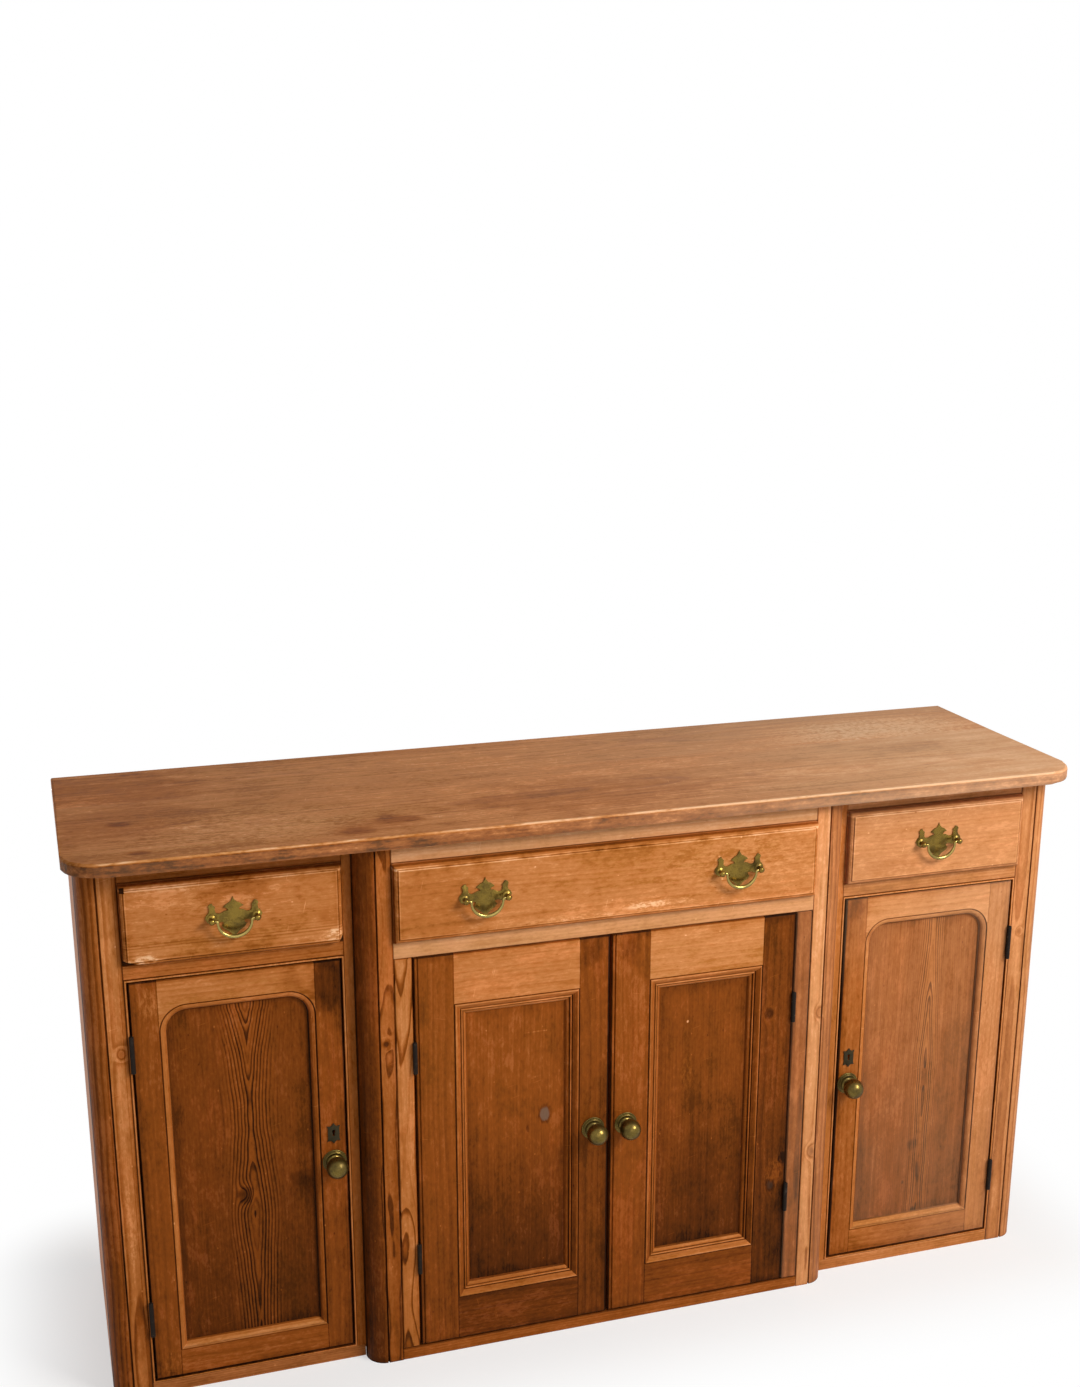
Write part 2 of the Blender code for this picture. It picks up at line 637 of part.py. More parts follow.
def make_doors(pine, pivots):
    free, hinged = side_door_edges()
    bottom, top = side_door_levels()
    reach = SIDE_STILE + SIDE_MOULD_WIDTH
    sight_low = (free + reach, bottom + SIDE_BOTTOM_MEMBER + SIDE_SILL_BEVEL)
    sight_high = (hinged - reach, top - SIDE_TOP_MEMBER - SIDE_MOULD_WIDTH)
    front, back = bolt_levels()
    half = BOLT_HEIGHT / 2 + FIT
    for word, side in SIDES.items():
        low, high = flipped((free, bottom), (hinged, top), side)
        low_sight, high_sight = flipped(sight_low, sight_high, side)
        cut = rectangle((free - FIT, front - FIT), (free + BOLT_SETBACK + BOLT_LENGTH + FIT, back + FIT))
        keyhole = prism(keyhole_outline(), SIDE_FACE - FIT, (front + back) / 2, along="y")
        middle = side * (free + SIDE_STILE / 2)
        bmesh.ops.translate(keyhole, verts=keyhole.verts, vec=(middle, 0, lock_height()))
        door = {
            "low": low,
            "high": high,
            "sight_low": low_sight,
            "sight_high": high_sight,
            "face": SIDE_FACE,
            "moulding": ovolo(SIDE_MOULD_WIDTH, SIDE_RECESS, SIDE_MOULD_WIDTH / 8),
            "recess": SIDE_RECESS,
            "panel": SIDE_PANEL,
            "sill": SIDE_SILL_BEVEL,
            "radius": ARCH_RADIUS,
            "cuts": [prism(mirrored(cut, side), lock_height() - half, lock_height() + half), keyhole],
        }
        make_door(word, door, pine, pivots[word])

    meeting, hinged = centre_door_edges()
    bottom, top = centre_door_levels()
    members = {
        "left": (LEFT_MEETING_STILE, LEFT_HINGE_STILE),
        "right": (RIGHT_MEETING_STILE, RIGHT_HINGE_STILE),
    }
    for word, side in SIDES.items():
        meeting_stile, hinge_stile = members[word]
        mould = CENTRE_MOULD_WIDTH
        sight_low = (meeting + meeting_stile + mould, bottom + CENTRE_BOTTOM_MEMBER + mould)
        sight_high = (hinged - hinge_stile - mould, top - CENTRE_TOP_MEMBER - mould)
        low, high = flipped((meeting, bottom), (hinged, top), side)
        low_sight, high_sight = flipped(sight_low, sight_high, side)
        door = {
            "low": low,
            "high": high,
            "sight_low": low_sight,
            "sight_high": high_sight,
            "face": CENTRE_FACE,
            "moulding": planted(CENTRE_MOULD_WIDTH, CENTRE_RECESS),
            "recess": CENTRE_RECESS,
            "panel": CENTRE_PANEL,
            "sill": None,
            "radius": 0,
            "cuts": [edge_bead(low[0], CENTRE_FACE, bottom, top)],
        }
        make_door(f"centre_{word}", door, pine, pivots[f"centre_{word}"])


def hinge_plan(axis, leaf_side, leaf_edge, leaf_back):
    """A barrel with its leaf in plan: the leaf lies beside the frame, on leaf_side of leaf_edge."""
    near, far = sorted((leaf_edge, leaf_edge + leaf_side * LEAF_THICKNESS))
    reach = [math.sqrt(BARREL_RADIUS**2 - (level - axis[0]) ** 2) for level in (near, far)]
    start = math.degrees(math.atan2(reach[1], far - axis[0]))
    end = math.degrees(math.atan2(reach[0], near - axis[0]))
    points = arc(axis, BARREL_RADIUS, end, 360 + start, 12)
    return points + [(far, leaf_back), (near, leaf_back)]


def make_hinges(brass):
    """Two butt hinges to each door: the barrel and the leaf on the frame."""
    layout = {
        "left": (SIDE_HINGE_LENGTH, SIDE_HINGE_FROM_TOP, SIDE_HINGE_FROM_BOTTOM, side_door_levels()),
        "right": (SIDE_HINGE_LENGTH, SIDE_HINGE_FROM_TOP, SIDE_HINGE_FROM_BOTTOM, side_door_levels()),
        "centre_left": (
            CENTRE_HINGE_LENGTH, CENTRE_HINGE_FROM_TOP, CENTRE_HINGE_FROM_BOTTOM, centre_door_levels()
        ),
        "centre_right": (
            CENTRE_HINGE_LENGTH, CENTRE_HINGE_FROM_TOP, CENTRE_HINGE_FROM_BOTTOM, centre_door_levels()
        ),
    }
    for name, (length, from_top, from_bottom, (bottom, top)) in layout.items():
        side = LEFT if name.endswith("left") else RIGHT
        axis = hinge_axis(name)
        gap = CENTRE_DOOR_GAP if name.startswith("centre") else SIDE_DOOR_GAP
        face = CENTRE_FACE if name.startswith("centre") else SIDE_FACE
        frame_edge = axis[0] + side * (gap / 2 - FIT)
        plan = hinge_plan(axis, -side, frame_edge, face + LEAF_DEPTH)
        for word, middle in (("upper", top - from_top), ("lower", bottom + from_bottom)):
            shape = prism(plan, middle - length / 2, middle + length / 2)
            place(f"hinge_{name}_{word}", shape, brass, smooth=True)


def worn_corners(low, high, front):
    """What has broken away from a drawer front's two lower corners, down to the face of the frame."""
    length, height = CHIP_LENGTH, CHIP_HEIGHT
    wide = [(-FIT, -FIT), (length, -FIT), (length * 0.6, height * 0.3), (length * 0.3, height * 0.75)]
    wide.append((-FIT, height))
    tall = [(FIT, -FIT), (FIT, height * 1.7), (-height * 0.35, height), (-height * 0.9, -FIT)]
    cuts = []
    for corner, outline in ((low[0], wide), (high[0], tall)):
        points = [(corner + a, low[1] + b) for a, b in outline]
        cuts.append(prism(points, front - FIT, front + FRONT_PROUD, along="y"))
    return cuts


def make_drawer(name, low, high, face, pine, pivot):
    """A drawer in the opening from low to high, both (x, z): moulded front and open box."""
    a = (low[0] + FRONT_GAP, low[1] + FRONT_GAP)
    b = (high[0] - FRONT_GAP, high[1] - FRONT_GAP)
    steps = 4
    section = [(FRONT_EDGE, 0), (FRONT_EDGE, FRONT_QUIRK)]
    for inset, level in arc((1, 1), 1, 270, 180, steps)[1:]:
        section.append((FRONT_EDGE * inset, FRONT_QUIRK + (FRONT_EDGE_DEPTH - FRONT_QUIRK) * level))
    section.append((0, FRONT_THICKNESS))
    front = face - FRONT_PROUD
    loops = []
    for inset, level in section:
        corners = rectangle((a[0] + inset, a[1] + inset), (b[0] - inset, b[1] - inset))
        loops.append([(x, front + level, z) for x, z in corners])
    shape = skin(loops)
    if name == "left":
        shape = combined(shape, worn_corners(a, b, front), "DIFFERENCE")
    place(f"drawer_front_{name}", shape, pine, pivot)

    start = front + FRONT_THICKNESS + FIT
    end = INSIDE_BACK - BOX_BACK_GAP
    outside = rectangle((low[0] + BOX_GAP, start), (high[0] - BOX_GAP, end))
    wall = BOX_GAP + BOX_WALL
    inside = rectangle((low[0] + wall, start + BOX_WALL), (high[0] - wall, end - BOX_WALL))
    floor = low[1] + FIT
    levels = ((outside, floor), (outside, floor + BOX_HEIGHT), (inside, floor + BOX_HEIGHT))
    levels += ((inside, floor + BOX_BOTTOM),)
    loops = [[(x, y, level) for x, y in outline] for outline, level in levels]
    place(f"drawer_box_{name}", skin(loops), pine, pivot)


def drawer_openings():
    """Low and high corners (x, z) of each drawer's opening, and the face it stands in."""
    levels = BOARD_TOP, RAIL_UNDER_TOP
    return {
        "left": ((-OPENING_OUT, levels[0]), (-OPENING_IN, levels[1]), SIDE_FACE),
        "centre": ((-CENTRE_OPENING, levels[0]), (CENTRE_OPENING, levels[1]), CENTRE_FACE),
        "right": ((OPENING_IN, levels[0]), (OPENING_OUT, levels[1]), SIDE_FACE),
    }


def plate_outline():
    """A pull's back plate: a leaf-shaped crown, curled ears, a lobe round each post and a drop."""
    half = [
        (0, -0.0315, -0.15), (0.012, -0.0185, 0.2), (0.018, -0.0115, -0.3), (0.015, -0.0065, -0.3),
        (0.0255, -0.0075, 0.5), (0.0415, 0.001, 0.2), (0.036, 0.0095, -0.25), (0.0365, 0.0195, 0.35),
        (0.0305, 0.0235, -0.25), (0.0265, 0.0185, -0.15), (0.026, 0.009, -0.35), (0.017, 0.0085, 0.2),
        (0.0075, 0.011, -0.35), (0.0145, 0.0165, 0.15), (0.005, 0.0235, -0.2), (0, 0.032, 0),
    ]
    right = bulged(half, 3)
    tip = half[-1][:2]
    left = [(-a, b) for a, b in reversed(right[1:])]
    return right + [tip] + left


def make_pull_meshes():
    """One plate with its two bored posts, and one bail, both about the middle of the pivot line."""
    back = POST_REACH + PLATE_THICKNESS
    plate = prism(plate_outline(), POST_REACH, back, along="y")
    nose = arc((0, 0), POST_BALL, 130, 20, 5)
    ball = [(radius, level) for level, radius in nose]
    posts = []
    bores = []
    for side in (LEFT, RIGHT):
        profile = [(COLLAR_RADIUS, POST_REACH + PLATE_THICKNESS / 2)]
        profile.append((COLLAR_RADIUS, POST_REACH - COLLAR_HEIGHT))
        profile.append((POST_RADIUS, POST_REACH - 2 * COLLAR_HEIGHT))
        profile += [(radius, -level) for radius, level in ball]
        post = turned(profile, POST_SIDES)
        bmesh.ops.translate(post, verts=post.verts, vec=(side * POST_SPACING / 2, 0, 0))
        posts.append(post)
        reach = side * POST_SPACING / 2
        ends = sorted((reach - POST_BALL * 2, reach + POST_BALL * 2))
        bores.append(prism(arc((0, 0), BORE_RADIUS, 0, 315, 7), ends[0], ends[1], along="x"))
    plate = combined(combined(plate, posts, "UNION"), bores, "DIFFERENCE")

    shoulder = BAIL_HALF_WIDTH + BAIL_BEND
    half = [(POST_SPACING / 2 + POST_BALL, 0.0, PIN_RADIUS), (shoulder, 0.0, PIN_RADIUS)]
    bend = arc((shoulder, -BAIL_BEND), BAIL_BEND, 90, 180, 3)
    half += [(a, b, BAIL_KNUCKLE) for a, b in bend[1:-1]]
    depth = BAIL_DROP - BAIL_BEND
    bow = [math.radians(90 * i / BOW_STEPS) for i in range(BOW_STEPS + 1)]
    for turn in bow:
        drop = BAIL_BEND + depth * math.sin(turn)
        radius = PIN_RADIUS + (BAIL_RADIUS - PIN_RADIUS) * drop / BAIL_DROP
        half.append((BAIL_HALF_WIDTH * math.cos(turn), -drop, radius))
    path = half + [(-a, b, radius) for a, b, radius in reversed(half[:-1])]
    loops = []
    for i, (a, b, radius) in enumerate(path):
        before, after = path[max(i - 1, 0)], path[min(i + 1, len(path) - 1)]
        heading = math.atan2(after[1] - before[1], after[0] - before[0])
        loop = []
        for k in range(TUBE_SIDES):
            t = 2 * math.pi * k / TUBE_SIDES
            across, out = radius * math.cos(t), radius * math.sin(t)
            loop.append((a - across * math.sin(heading), out, b + across * math.cos(heading)))
        loops.append(loop)
    return mesh_of(plate, "pull_plate", smooth=True), mesh_of(skin(loops), "pull_bail", smooth=True)


def pull_places():
    """Pivot line's middle for each pull, and the drawer that it belongs to."""
    height = (BOARD_TOP + RAIL_UNDER_TOP) / 2
    reach = FRONT_PROUD + FIT + PLATE_THICKNESS + POST_REACH
    middle = (OPENING_IN + OPENING_OUT) / 2
    pair = CENTRE_OPENING - CENTRE_PULL_FROM_END
    return {
        "left": ((-middle, SIDE_FACE - reach, height), "left"),
        "centre_left": ((-pair, CENTRE_FACE - reach, height), "centre"),
        "centre_right": ((pair, CENTRE_FACE - reach, height), "centre"),
        "right": ((middle, SIDE_FACE - reach, height), "right"),
    }


def make_drawers_and_pulls(pine, brass):
    drawers = {}
    for name, (low, high, face) in drawer_openings().items():
        pivot = make_pivot(f"drawer_{name}_slide", ((low[0] + high[0]) / 2, face, low[1]))
        drawers[name] = pivot
        make_drawer(name, low, high, face, pine, pivot)
    plate, bail = make_pull_meshes()
    for name, (at, drawer) in pull_places().items():
        place_copy(f"pull_plate_{name}", plate, brass, at, drawers[drawer])
        pivot = make_pivot(f"bail_{name}_pivot", Vector(at) - drawers[drawer].location)
        pivot.parent = drawers[drawer]
        swing = bpy.data.objects.new(f"pull_bail_{name}", bail)
        if not bail.materials:
            bail.materials.append(brass)
        swing.parent = pivot
        bpy.context.collection.objects.link(swing)


def knob_profile():
    """A ball on a neck, rising from a ringed rose: (radius, distance in front of the door)."""
    centre = KNOB_REACH - KNOB_RADIUS
    rim = ROSE_RADIUS * ROSE_RIM
    profile = [(ROSE_RADIUS, 0), (ROSE_RADIUS, ROSE_THICKNESS / 2), (rim, ROSE_THICKNESS)]
    profile += [(ROSE_RADIUS * ROSE_HOLLOW, ROSE_THICKNESS * ROSE_HOLLOW)]
    profile += [(KNOB_NECK * NECK_FLARE, ROSE_THICKNESS)]
    start = math.asin(KNOB_NECK / KNOB_RADIUS)
    profile.append((KNOB_NECK, (ROSE_THICKNESS + centre - KNOB_RADIUS * math.cos(start)) / 2))
    steps = 8
    for i in range(steps):
        turn = start + (math.pi - start) * i / steps
        profile.append((KNOB_RADIUS * math.sin(turn), centre - KNOB_RADIUS * math.cos(turn)))
    return profile


def keyhole_outline():
    """A round hole over a slot, about the middle of the keyhole."""
    start = math.degrees(math.asin(KEYHOLE_SLOT / 2 / KEYHOLE_RADIUS))
    hole = arc((0, KEYHOLE_DROP / 2), KEYHOLE_RADIUS, -90 + start, 270 - start, 8)
    return hole + [(-KEYHOLE_SLOT / 2, -KEYHOLE_DROP / 2), (KEYHOLE_SLOT / 2, -KEYHOLE_DROP / 2)]


def escutcheon_mesh():
    """A pointed plate with four ears, pierced by a keyhole."""
    half = [
        (0, -0.0175, -0.12), (0.0045, -0.012, -0.15), (0.0105, -0.013, -0.2), (0.0088, -0.005, 0.05),
        (0.0088, 0.005, -0.2), (0.0105, 0.0135, -0.15), (0.0045, 0.0125, -0.12), (0, 0.018, 0),
    ]
    right = bulged(half, 2)
    outline = right + [half[-1][:2]] + [(-a, b) for a, b in reversed(right[1:])]
    plate = prism(outline, 0, ESCUTCHEON_THICKNESS, along="y")
    cutter = prism(keyhole_outline(), -ESCUTCHEON_THICKNESS, 2 * ESCUTCHEON_THICKNESS, along="y")
    return mesh_of(combined(plate, [cutter], "DIFFERENCE"), "escutcheon")


def make_door_hardware(brass, iron, pivots):
    knob = turned([(radius, -FIT - level) for radius, level in knob_profile()])
    knob_mesh = mesh_of(knob, "knob", smooth=True)
    plate = escutcheon_mesh()
    free = side_door_edges()[0]
    middle = free + SIDE_STILE / 2
    meeting = centre_door_edges()[0] + CENTRE_KNOB_FROM_EDGE
    front, back = bolt_levels()
    half = BOLT_HEIGHT / 2
    for word, side in SIDES.items():
        at = (side * middle, SIDE_FACE, SIDE_KNOB_HEIGHT)
        place_copy(f"knob_{word}", knob_mesh, brass, at, pivots[word])
        at = (side * meeting, CENTRE_FACE, CENTRE_KNOB_HEIGHT)
        place_copy(f"knob_centre_{word}", knob_mesh, brass, at, pivots[f"centre_{word}"])
        at = (side * middle, SIDE_FACE - FIT - ESCUTCHEON_THICKNESS, lock_height())
        place_copy(f"escutcheon_{word}", plate, brass, at, pivots[word])

        tip = free + BOLT_SETBACK
        slide = make_pivot(f"bolt_{word}_slide", Vector((side * tip, (front + back) / 2, lock_height())))
        plan = rectangle((tip, front), (tip + BOLT_LENGTH, back))
        bolt = prism(mirrored(plan, side), lock_height() - half, lock_height() + half)
        place(f"lock_bolt_{word}", bolt, iron, slide)
        slide.parent = pivots[word]
        slide.location -= pivots[word].location


def main():
    clear_scene()
    top_pine = make_material("worktop pine", (0.42, 0.19, 0.075), 0.5)
    frame_pine = make_material("frame pine", (0.50, 0.23, 0.095), 0.5)
    inner_pine = make_material("inner pine", (0.45, 0.27, 0.14), 0.7)
    door_pine = make_material("door pine", (0.38, 0.15, 0.05), 0.5)
    drawer_pine = make_material("drawer pine", (0.48, 0.22, 0.09), 0.5)
    brass = make_material("aged brass", (0.32, 0.25, 0.08), 0.35, 1.0)
    iron = make_material("dark iron", (0.05, 0.04, 0.035), 0.5, 1.0)

    make_worktop(top_pine)
    make_posts(frame_pine)
    make_panels(inner_pine)
    make_boards(frame_pine)
    make_trim(frame_pine)
    make_hinges(iron)
    make_drawers_and_pulls(drawer_pine, brass)

    pivots = {}
    for name in ("left", "centre_left", "centre_right", "right"):
        pivots[name] = make_pivot(f"door_{name}_hinge", (*hinge_axis(name), 0))
    make_doors(door_pine, pivots)
    make_door_hardware(brass, iron, pivots)


main()
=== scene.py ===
import math

import bmesh
import bpy
import numpy as np
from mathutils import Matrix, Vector


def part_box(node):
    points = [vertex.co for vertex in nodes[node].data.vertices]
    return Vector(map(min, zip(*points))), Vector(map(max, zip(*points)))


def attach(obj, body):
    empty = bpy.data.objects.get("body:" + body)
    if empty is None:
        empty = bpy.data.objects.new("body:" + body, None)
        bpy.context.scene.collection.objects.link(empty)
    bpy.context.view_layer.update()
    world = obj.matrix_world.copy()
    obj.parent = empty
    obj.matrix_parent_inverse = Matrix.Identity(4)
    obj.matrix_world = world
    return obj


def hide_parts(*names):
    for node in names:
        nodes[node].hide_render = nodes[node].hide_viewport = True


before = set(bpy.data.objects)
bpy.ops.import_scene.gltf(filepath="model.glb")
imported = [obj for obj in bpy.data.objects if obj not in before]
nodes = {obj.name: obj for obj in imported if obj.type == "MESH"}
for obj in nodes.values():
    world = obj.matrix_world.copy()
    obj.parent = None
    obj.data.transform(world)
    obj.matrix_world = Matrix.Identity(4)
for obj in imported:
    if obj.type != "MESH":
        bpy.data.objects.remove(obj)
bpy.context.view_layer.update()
doorWords = ("left", "centre_left", "centre_right", "right")
print("frame loaded:", len(nodes), "CAD nodes")


# shader wires
def mathNode(operation, swapped=False):
    # a method that makes a Math node of a wire and the values given; swapped puts the wire last
    def method(wire, *others):
        values = (*others, wire) if swapped else (wire, *others)
        return wire.node("ShaderNodeMath", dict(enumerate(values)), {"operation": operation})
    return method


class Wire:
    # one output socket of a material; arithmetic on it makes Math nodes
    def __init__(self, socket):
        self.socket = socket

    def node(self, kind, sockets, settings=None, out=0):
        # a new node with its sockets set or linked; gives back one of its outputs
        made = self.socket.id_data.nodes.new(kind)
        for key, value in (settings or {}).items():
            setattr(made, key, value)
        for key, value in sockets.items():
            if isinstance(value, Wire):
                self.socket.id_data.links.new(value.socket, made.inputs[key])
            else:
                made.inputs[key].default_value = value
        return Wire(made.outputs[out])

    __add__, __radd__ = mathNode("ADD"), mathNode("ADD", swapped=True)
    __sub__, __rsub__ = mathNode("SUBTRACT"), mathNode("SUBTRACT", swapped=True)
    __mul__, __rmul__ = mathNode("MULTIPLY"), mathNode("MULTIPLY", swapped=True)
    __truediv__, __rtruediv__ = mathNode("DIVIDE"), mathNode("DIVIDE", swapped=True)
    __abs__, __gt__, __lt__ = mathNode("ABSOLUTE"), mathNode("GREATER_THAN"), mathNode("LESS_THAN")
    least, most, exponent = mathNode("MINIMUM"), mathNode("MAXIMUM"), mathNode("EXPONENT")
    root, floor, fract = mathNode("SQRT"), mathNode("FLOOR"), mathNode("FRACT")

    def bell(self):
        # 1 at 0, falling away on both sides
        return (self * self * -0.5).exponent()

    def rise(self, low, high):
        # 0 below low, 1 above high, smooth between; turned round where low is the larger
        limits = {"Value": self, "From Min": low, "From Max": high}
        return self.node("ShaderNodeMapRange", limits, {"interpolation_type": "SMOOTHSTEP"}, "Result")

    def fall(self, low, high):
        return self.rise(high, low)

    def pick(self, first, second):
        # first where the wire is 0, second where it is 1
        return self * (second - first) + first

    def part(self, axis):
        return self.node("ShaderNodeSeparateXYZ", {0: self}, out="XYZ".index(axis))

    def vector(self, a, b, c):
        return self.node("ShaderNodeCombineXYZ", {0: a, 1: b, 2: c})

    def stretched(self, scale, shift):
        settings = {"operation": "MULTIPLY_ADD"}
        return self.node("ShaderNodeVectorMath", {0: self, 1: scale, 2: shift}, settings)

    def noise(self, scale, shift, detail=2.0, rough=0.5):
        # smooth noise of this vector, about 0: from -0.5 to 0.5
        spread = self.stretched(scale, (shift, shift * 1.7, shift * 0.6))
        settings = {"Vector": spread, "Scale": 1.0, "Detail": detail, "Roughness": rough}
        return self.node("ShaderNodeTexNoise", settings) - 0.5

    def cells(self, scale, shift):
        # scattered points: distance from the nearest one, and a fixed random number for each
        spread = self.stretched(scale, (shift, shift * 1.3, shift * 0.7))
        far = self.node("ShaderNodeTexVoronoi", {"Vector": spread, "Scale": 1.0}, out="Distance")
        return far, Wire(far.socket.node.outputs["Color"]).part("X")

    def chance(self):
        # a fixed random number from 0 to 1 for each value of the wire
        return self.node("ShaderNodeTexWhiteNoise", {"W": self}, {"noise_dimensions": "1D"})

    def ramp(self, stops, bend="LINEAR"):
        made = self.node("ShaderNodeValToRGB", {"Fac": self})
        band = made.socket.node.color_ramp
        band.interpolation = bend
        for place, colour in stops[1:-1]:
            band.elements.new(place)
        for element, (place, colour) in zip(band.elements, stops):
            element.position = place
            element.color = (*colour, 1.0)
        return made

    def curve(self, stops):
        # a smooth line through given heights, both from 0 to 1
        return self.ramp([(place, (value, value, value)) for place, value in stops], "CARDINAL")

    def blend(self, first, second, kind="MIX"):
        # two colours mixed by this wire
        settings = {"data_type": "RGBA", "blend_type": kind}
        return self.node("ShaderNodeMix", {0: self, 6: first, 7: second}, settings, 2)


def newMaterial(name, settings):
    # a material, its shader and the wire of the place on the object
    made = bpy.data.materials.new(name)
    made.use_nodes = True
    shader = made.node_tree.nodes["Principled BSDF"]
    for socket, value in settings.items():
        shader.inputs[socket].default_value = value
    place = made.node_tree.nodes.new("ShaderNodeTexCoord")
    return made, shader, Wire(place.outputs["Object"])


def feed(shader, socket, wire):
    shader.id_data.links.new(wire.socket, shader.inputs[socket])


def raised(wire, shader, strength, distance):
    # the wire as a height that bends the light
    sockets = {"Strength": strength, "Distance": distance, "Height": wire}
    feed(shader, "Normal", wire.node("ShaderNodeBump", sockets, out="Normal"))


# waxed pine, from its darkest late rings to its rubbed edges
pineScale = [
    (0.0, (0.018, 0.005, 0.0015)),
    (0.2, (0.11, 0.0265, 0.0035)),
    (0.4, (0.26, 0.066, 0.008)),
    (0.6, (0.45, 0.148, 0.034)),
    (0.8, (0.66, 0.285, 0.104)),
    (1.0, (0.86, 0.52, 0.29)),
]
waxTint = (1.0, 0.7, 0.4, 1.0)
grainOrder = {  # the axes across the board, into it and along its grain
    "up": "XYZ",
    "level": "ZYX",
    "top": "YZX",
    "end": "YXZ",
    "deep": "XZY",
}
softNoise = {  # scale on the grain's axes, shift, detail, roughness
    "wiggle": ((45.0, 45.0, 9.0), 13.0, 2.0, 0.5),
    "fibre": ((620.0, 620.0, 11.0), 7.0, 2.0, 0.6),
    "streak": ((130.0, 130.0, 3.2), 23.0, 2.0, 0.6),
    "drift": ((7.0, 7.0, 2.6), 31.0, 3.0, 0.6),
    "mottle": ((38.0, 38.0, 21.0), 57.0, 3.0, 0.65),
    "grit": ((230.0, 230.0, 95.0), 71.0, 3.0, 0.7),
}
ringLook = {"climbReach": 0.12, "least": 0.25, "chance": 0.8, "mean": 0.3}
knotLook = {
    "squash": 0.68, "push": 1.4, "core": 0.15, "coreEnd": (0.55, 1.0), "rim": 0.1, "rimFrom": (0.6, 0.95),
    "rimEnd": (1.0, 1.5), "halo": 0.02, "haloFrom": (1.1, 1.6), "haloEnd": (1.6, 3.2),
}
patchLook = {"dry": (0.1, 0.24), "smudge": (-0.12, -0.26)}
markLook = {"rim": (0.35, 1.15), "fleck": (-0.1, 0.14), "fleckLeast": 0.3, "fleckMore": 1.2}
holeLook = {"rim": (0.8, 1.15), "dark": 0.8}
speckLook = {  # cell size, then radius and share of the pale flecks and of the dark dints
    "cells": (75.0, 75.0, 48.0), "fleck": (0.04, 0.12), "fleckShare": (0.78, 0.9),
    "dint": (0.05, 0.14), "dintShare": (0.07, 0.13),
}
scratchLook = {
    "cells": (24.0, 24.0, 640.0), "slant": (0.35, 0.25), "width": (0.1, 0.34), "share": (0.984, 0.99),
}
surface = {"markFade": 0.002, "grooveWobble": 0.0008, "lineWobble": 0.0009, "bump": 0.0006}
# knots: across, along, size and ash; marks: across, along, both half widths and amount
# lines: inset from the edge, width and amount; dark grooves, joints and painted gap shadows: axis, place,
# width and amount
# shades and greyFrom: axis, where each starts, where it is full, and amount; shades down Z are painted
# shade, darker towards the bottom
commonWood = {
    "pith": (0.0, 0.6),  # where the log's heart lies, across and into the board
    "spacing": 0.0045, "sway": (0.012, 1.6), "heave": (0.012, 3.0), "wiggle": 0.0016,
    "late": (0.3, 0.8, 0.86),  # where in a ring its late wood starts, is darkest and ends
    "contrast": 0.07, "figure": (0.0, 0.2, 0.6), "climb": None, "climbBy": 0.0,
    "fibre": 0.12, "streak": 0.17, "drift": 0.2, "mottle": 0.16, "grit": 0.22, "patch": 0.025, "hue": 0.6,
    "grey": 0.0, "greyFrom": [], "knots": [], "marks": [], "holes": [], "lines": [], "grooves": [],
    "shades": [], "wear": (0.1, 0.0028), "dirt": (0.07, 0.016), "flecks": 0.2, "dints": 0.12,
    "scratches": 0.14, "shine": 0.06, "rough": 0.44, "bump": 0.26,
    "members": None, "extra": None, "front": None,
}
orangeCast = (1.07, 0.87, 0.72, 1.0)
oliveCast = (0.94, 1.05, 0.92, 1.0)
ashenKnot = (0.19, 0.118, 0.078, 1.0)
dryDust = (0.6, 0.42, 0.27, 1.0)


def boardEdges(face, across, along):
    # distance in from the nearest edge of a face
    (lowA, highA), (lowL, highL) = face
    acrossEdge = (across - lowA).least(highA - across)
    return acrossEdge.least((along - lowL).least(highL - along))


def growthRings(wood, inLog, spot, seed, soft, flat):
    # Rings are cylinders about a pith line that wanders: radius = length of (across, depth) from the pith.
    # Climb adds a rise along the board near its heart, so that the rings cut the face in pointed arches,
    # and a knot pushes them out by a bell of its distance. ring = radius / spacing, and its late wood
    # darkens towards the ring's end.
    (pithAcross, pithDepth), (swayBy, swayRate), (heaveBy, heaveRate) = (
        wood[word] for word in ("pith", "sway", "heave"))
    u = inLog[0] - pithAcross + spot.noise((3.0, 3.0, swayRate), seed, 1.0) * swayBy
    v = inLog[1] - pithDepth + spot.noise((5.0, 5.0, heaveRate), seed + 41.0, 1.0) * heaveBy
    radius = (u * u + v * v).root() + soft["wiggle"] * wood["wiggle"]
    if wood["climb"]:
        low, high = wood["face"][1]
        rising = ((flat[1] - low) / (high - low)).curve(wood["climb"])
        radius += rising * abs(u).fall(0.0, ringLook["climbReach"]) * wood["climbBy"]
    for knotA, knotL, size, _ in wood["knots"]:
        far = knotDistance(flat, knotA, knotL, size)
        radius += far.bell() * (size * knotLook["push"])
    ring = radius / wood["spacing"]
    start, dark, end = wood["late"]
    late = ring.fract().rise(start, dark) * ring.fract().fall(end, 1.0)
    late *= ring.floor().chance() * ringLook["chance"] + ringLook["least"]
    near, far, least = wood["figure"]
    return (late - ringLook["mean"]) * (abs(u).fall(near, far) * (1.0 - least) + least)


def knotDistance(flat, knotA, knotL, size):
    # distance from a knot in its own sizes, a little longer along the grain
    offA, offL = flat[0] - knotA, (flat[1] - knotL) * knotLook["squash"]
    return (offA * offA + offL * offL).root() / size


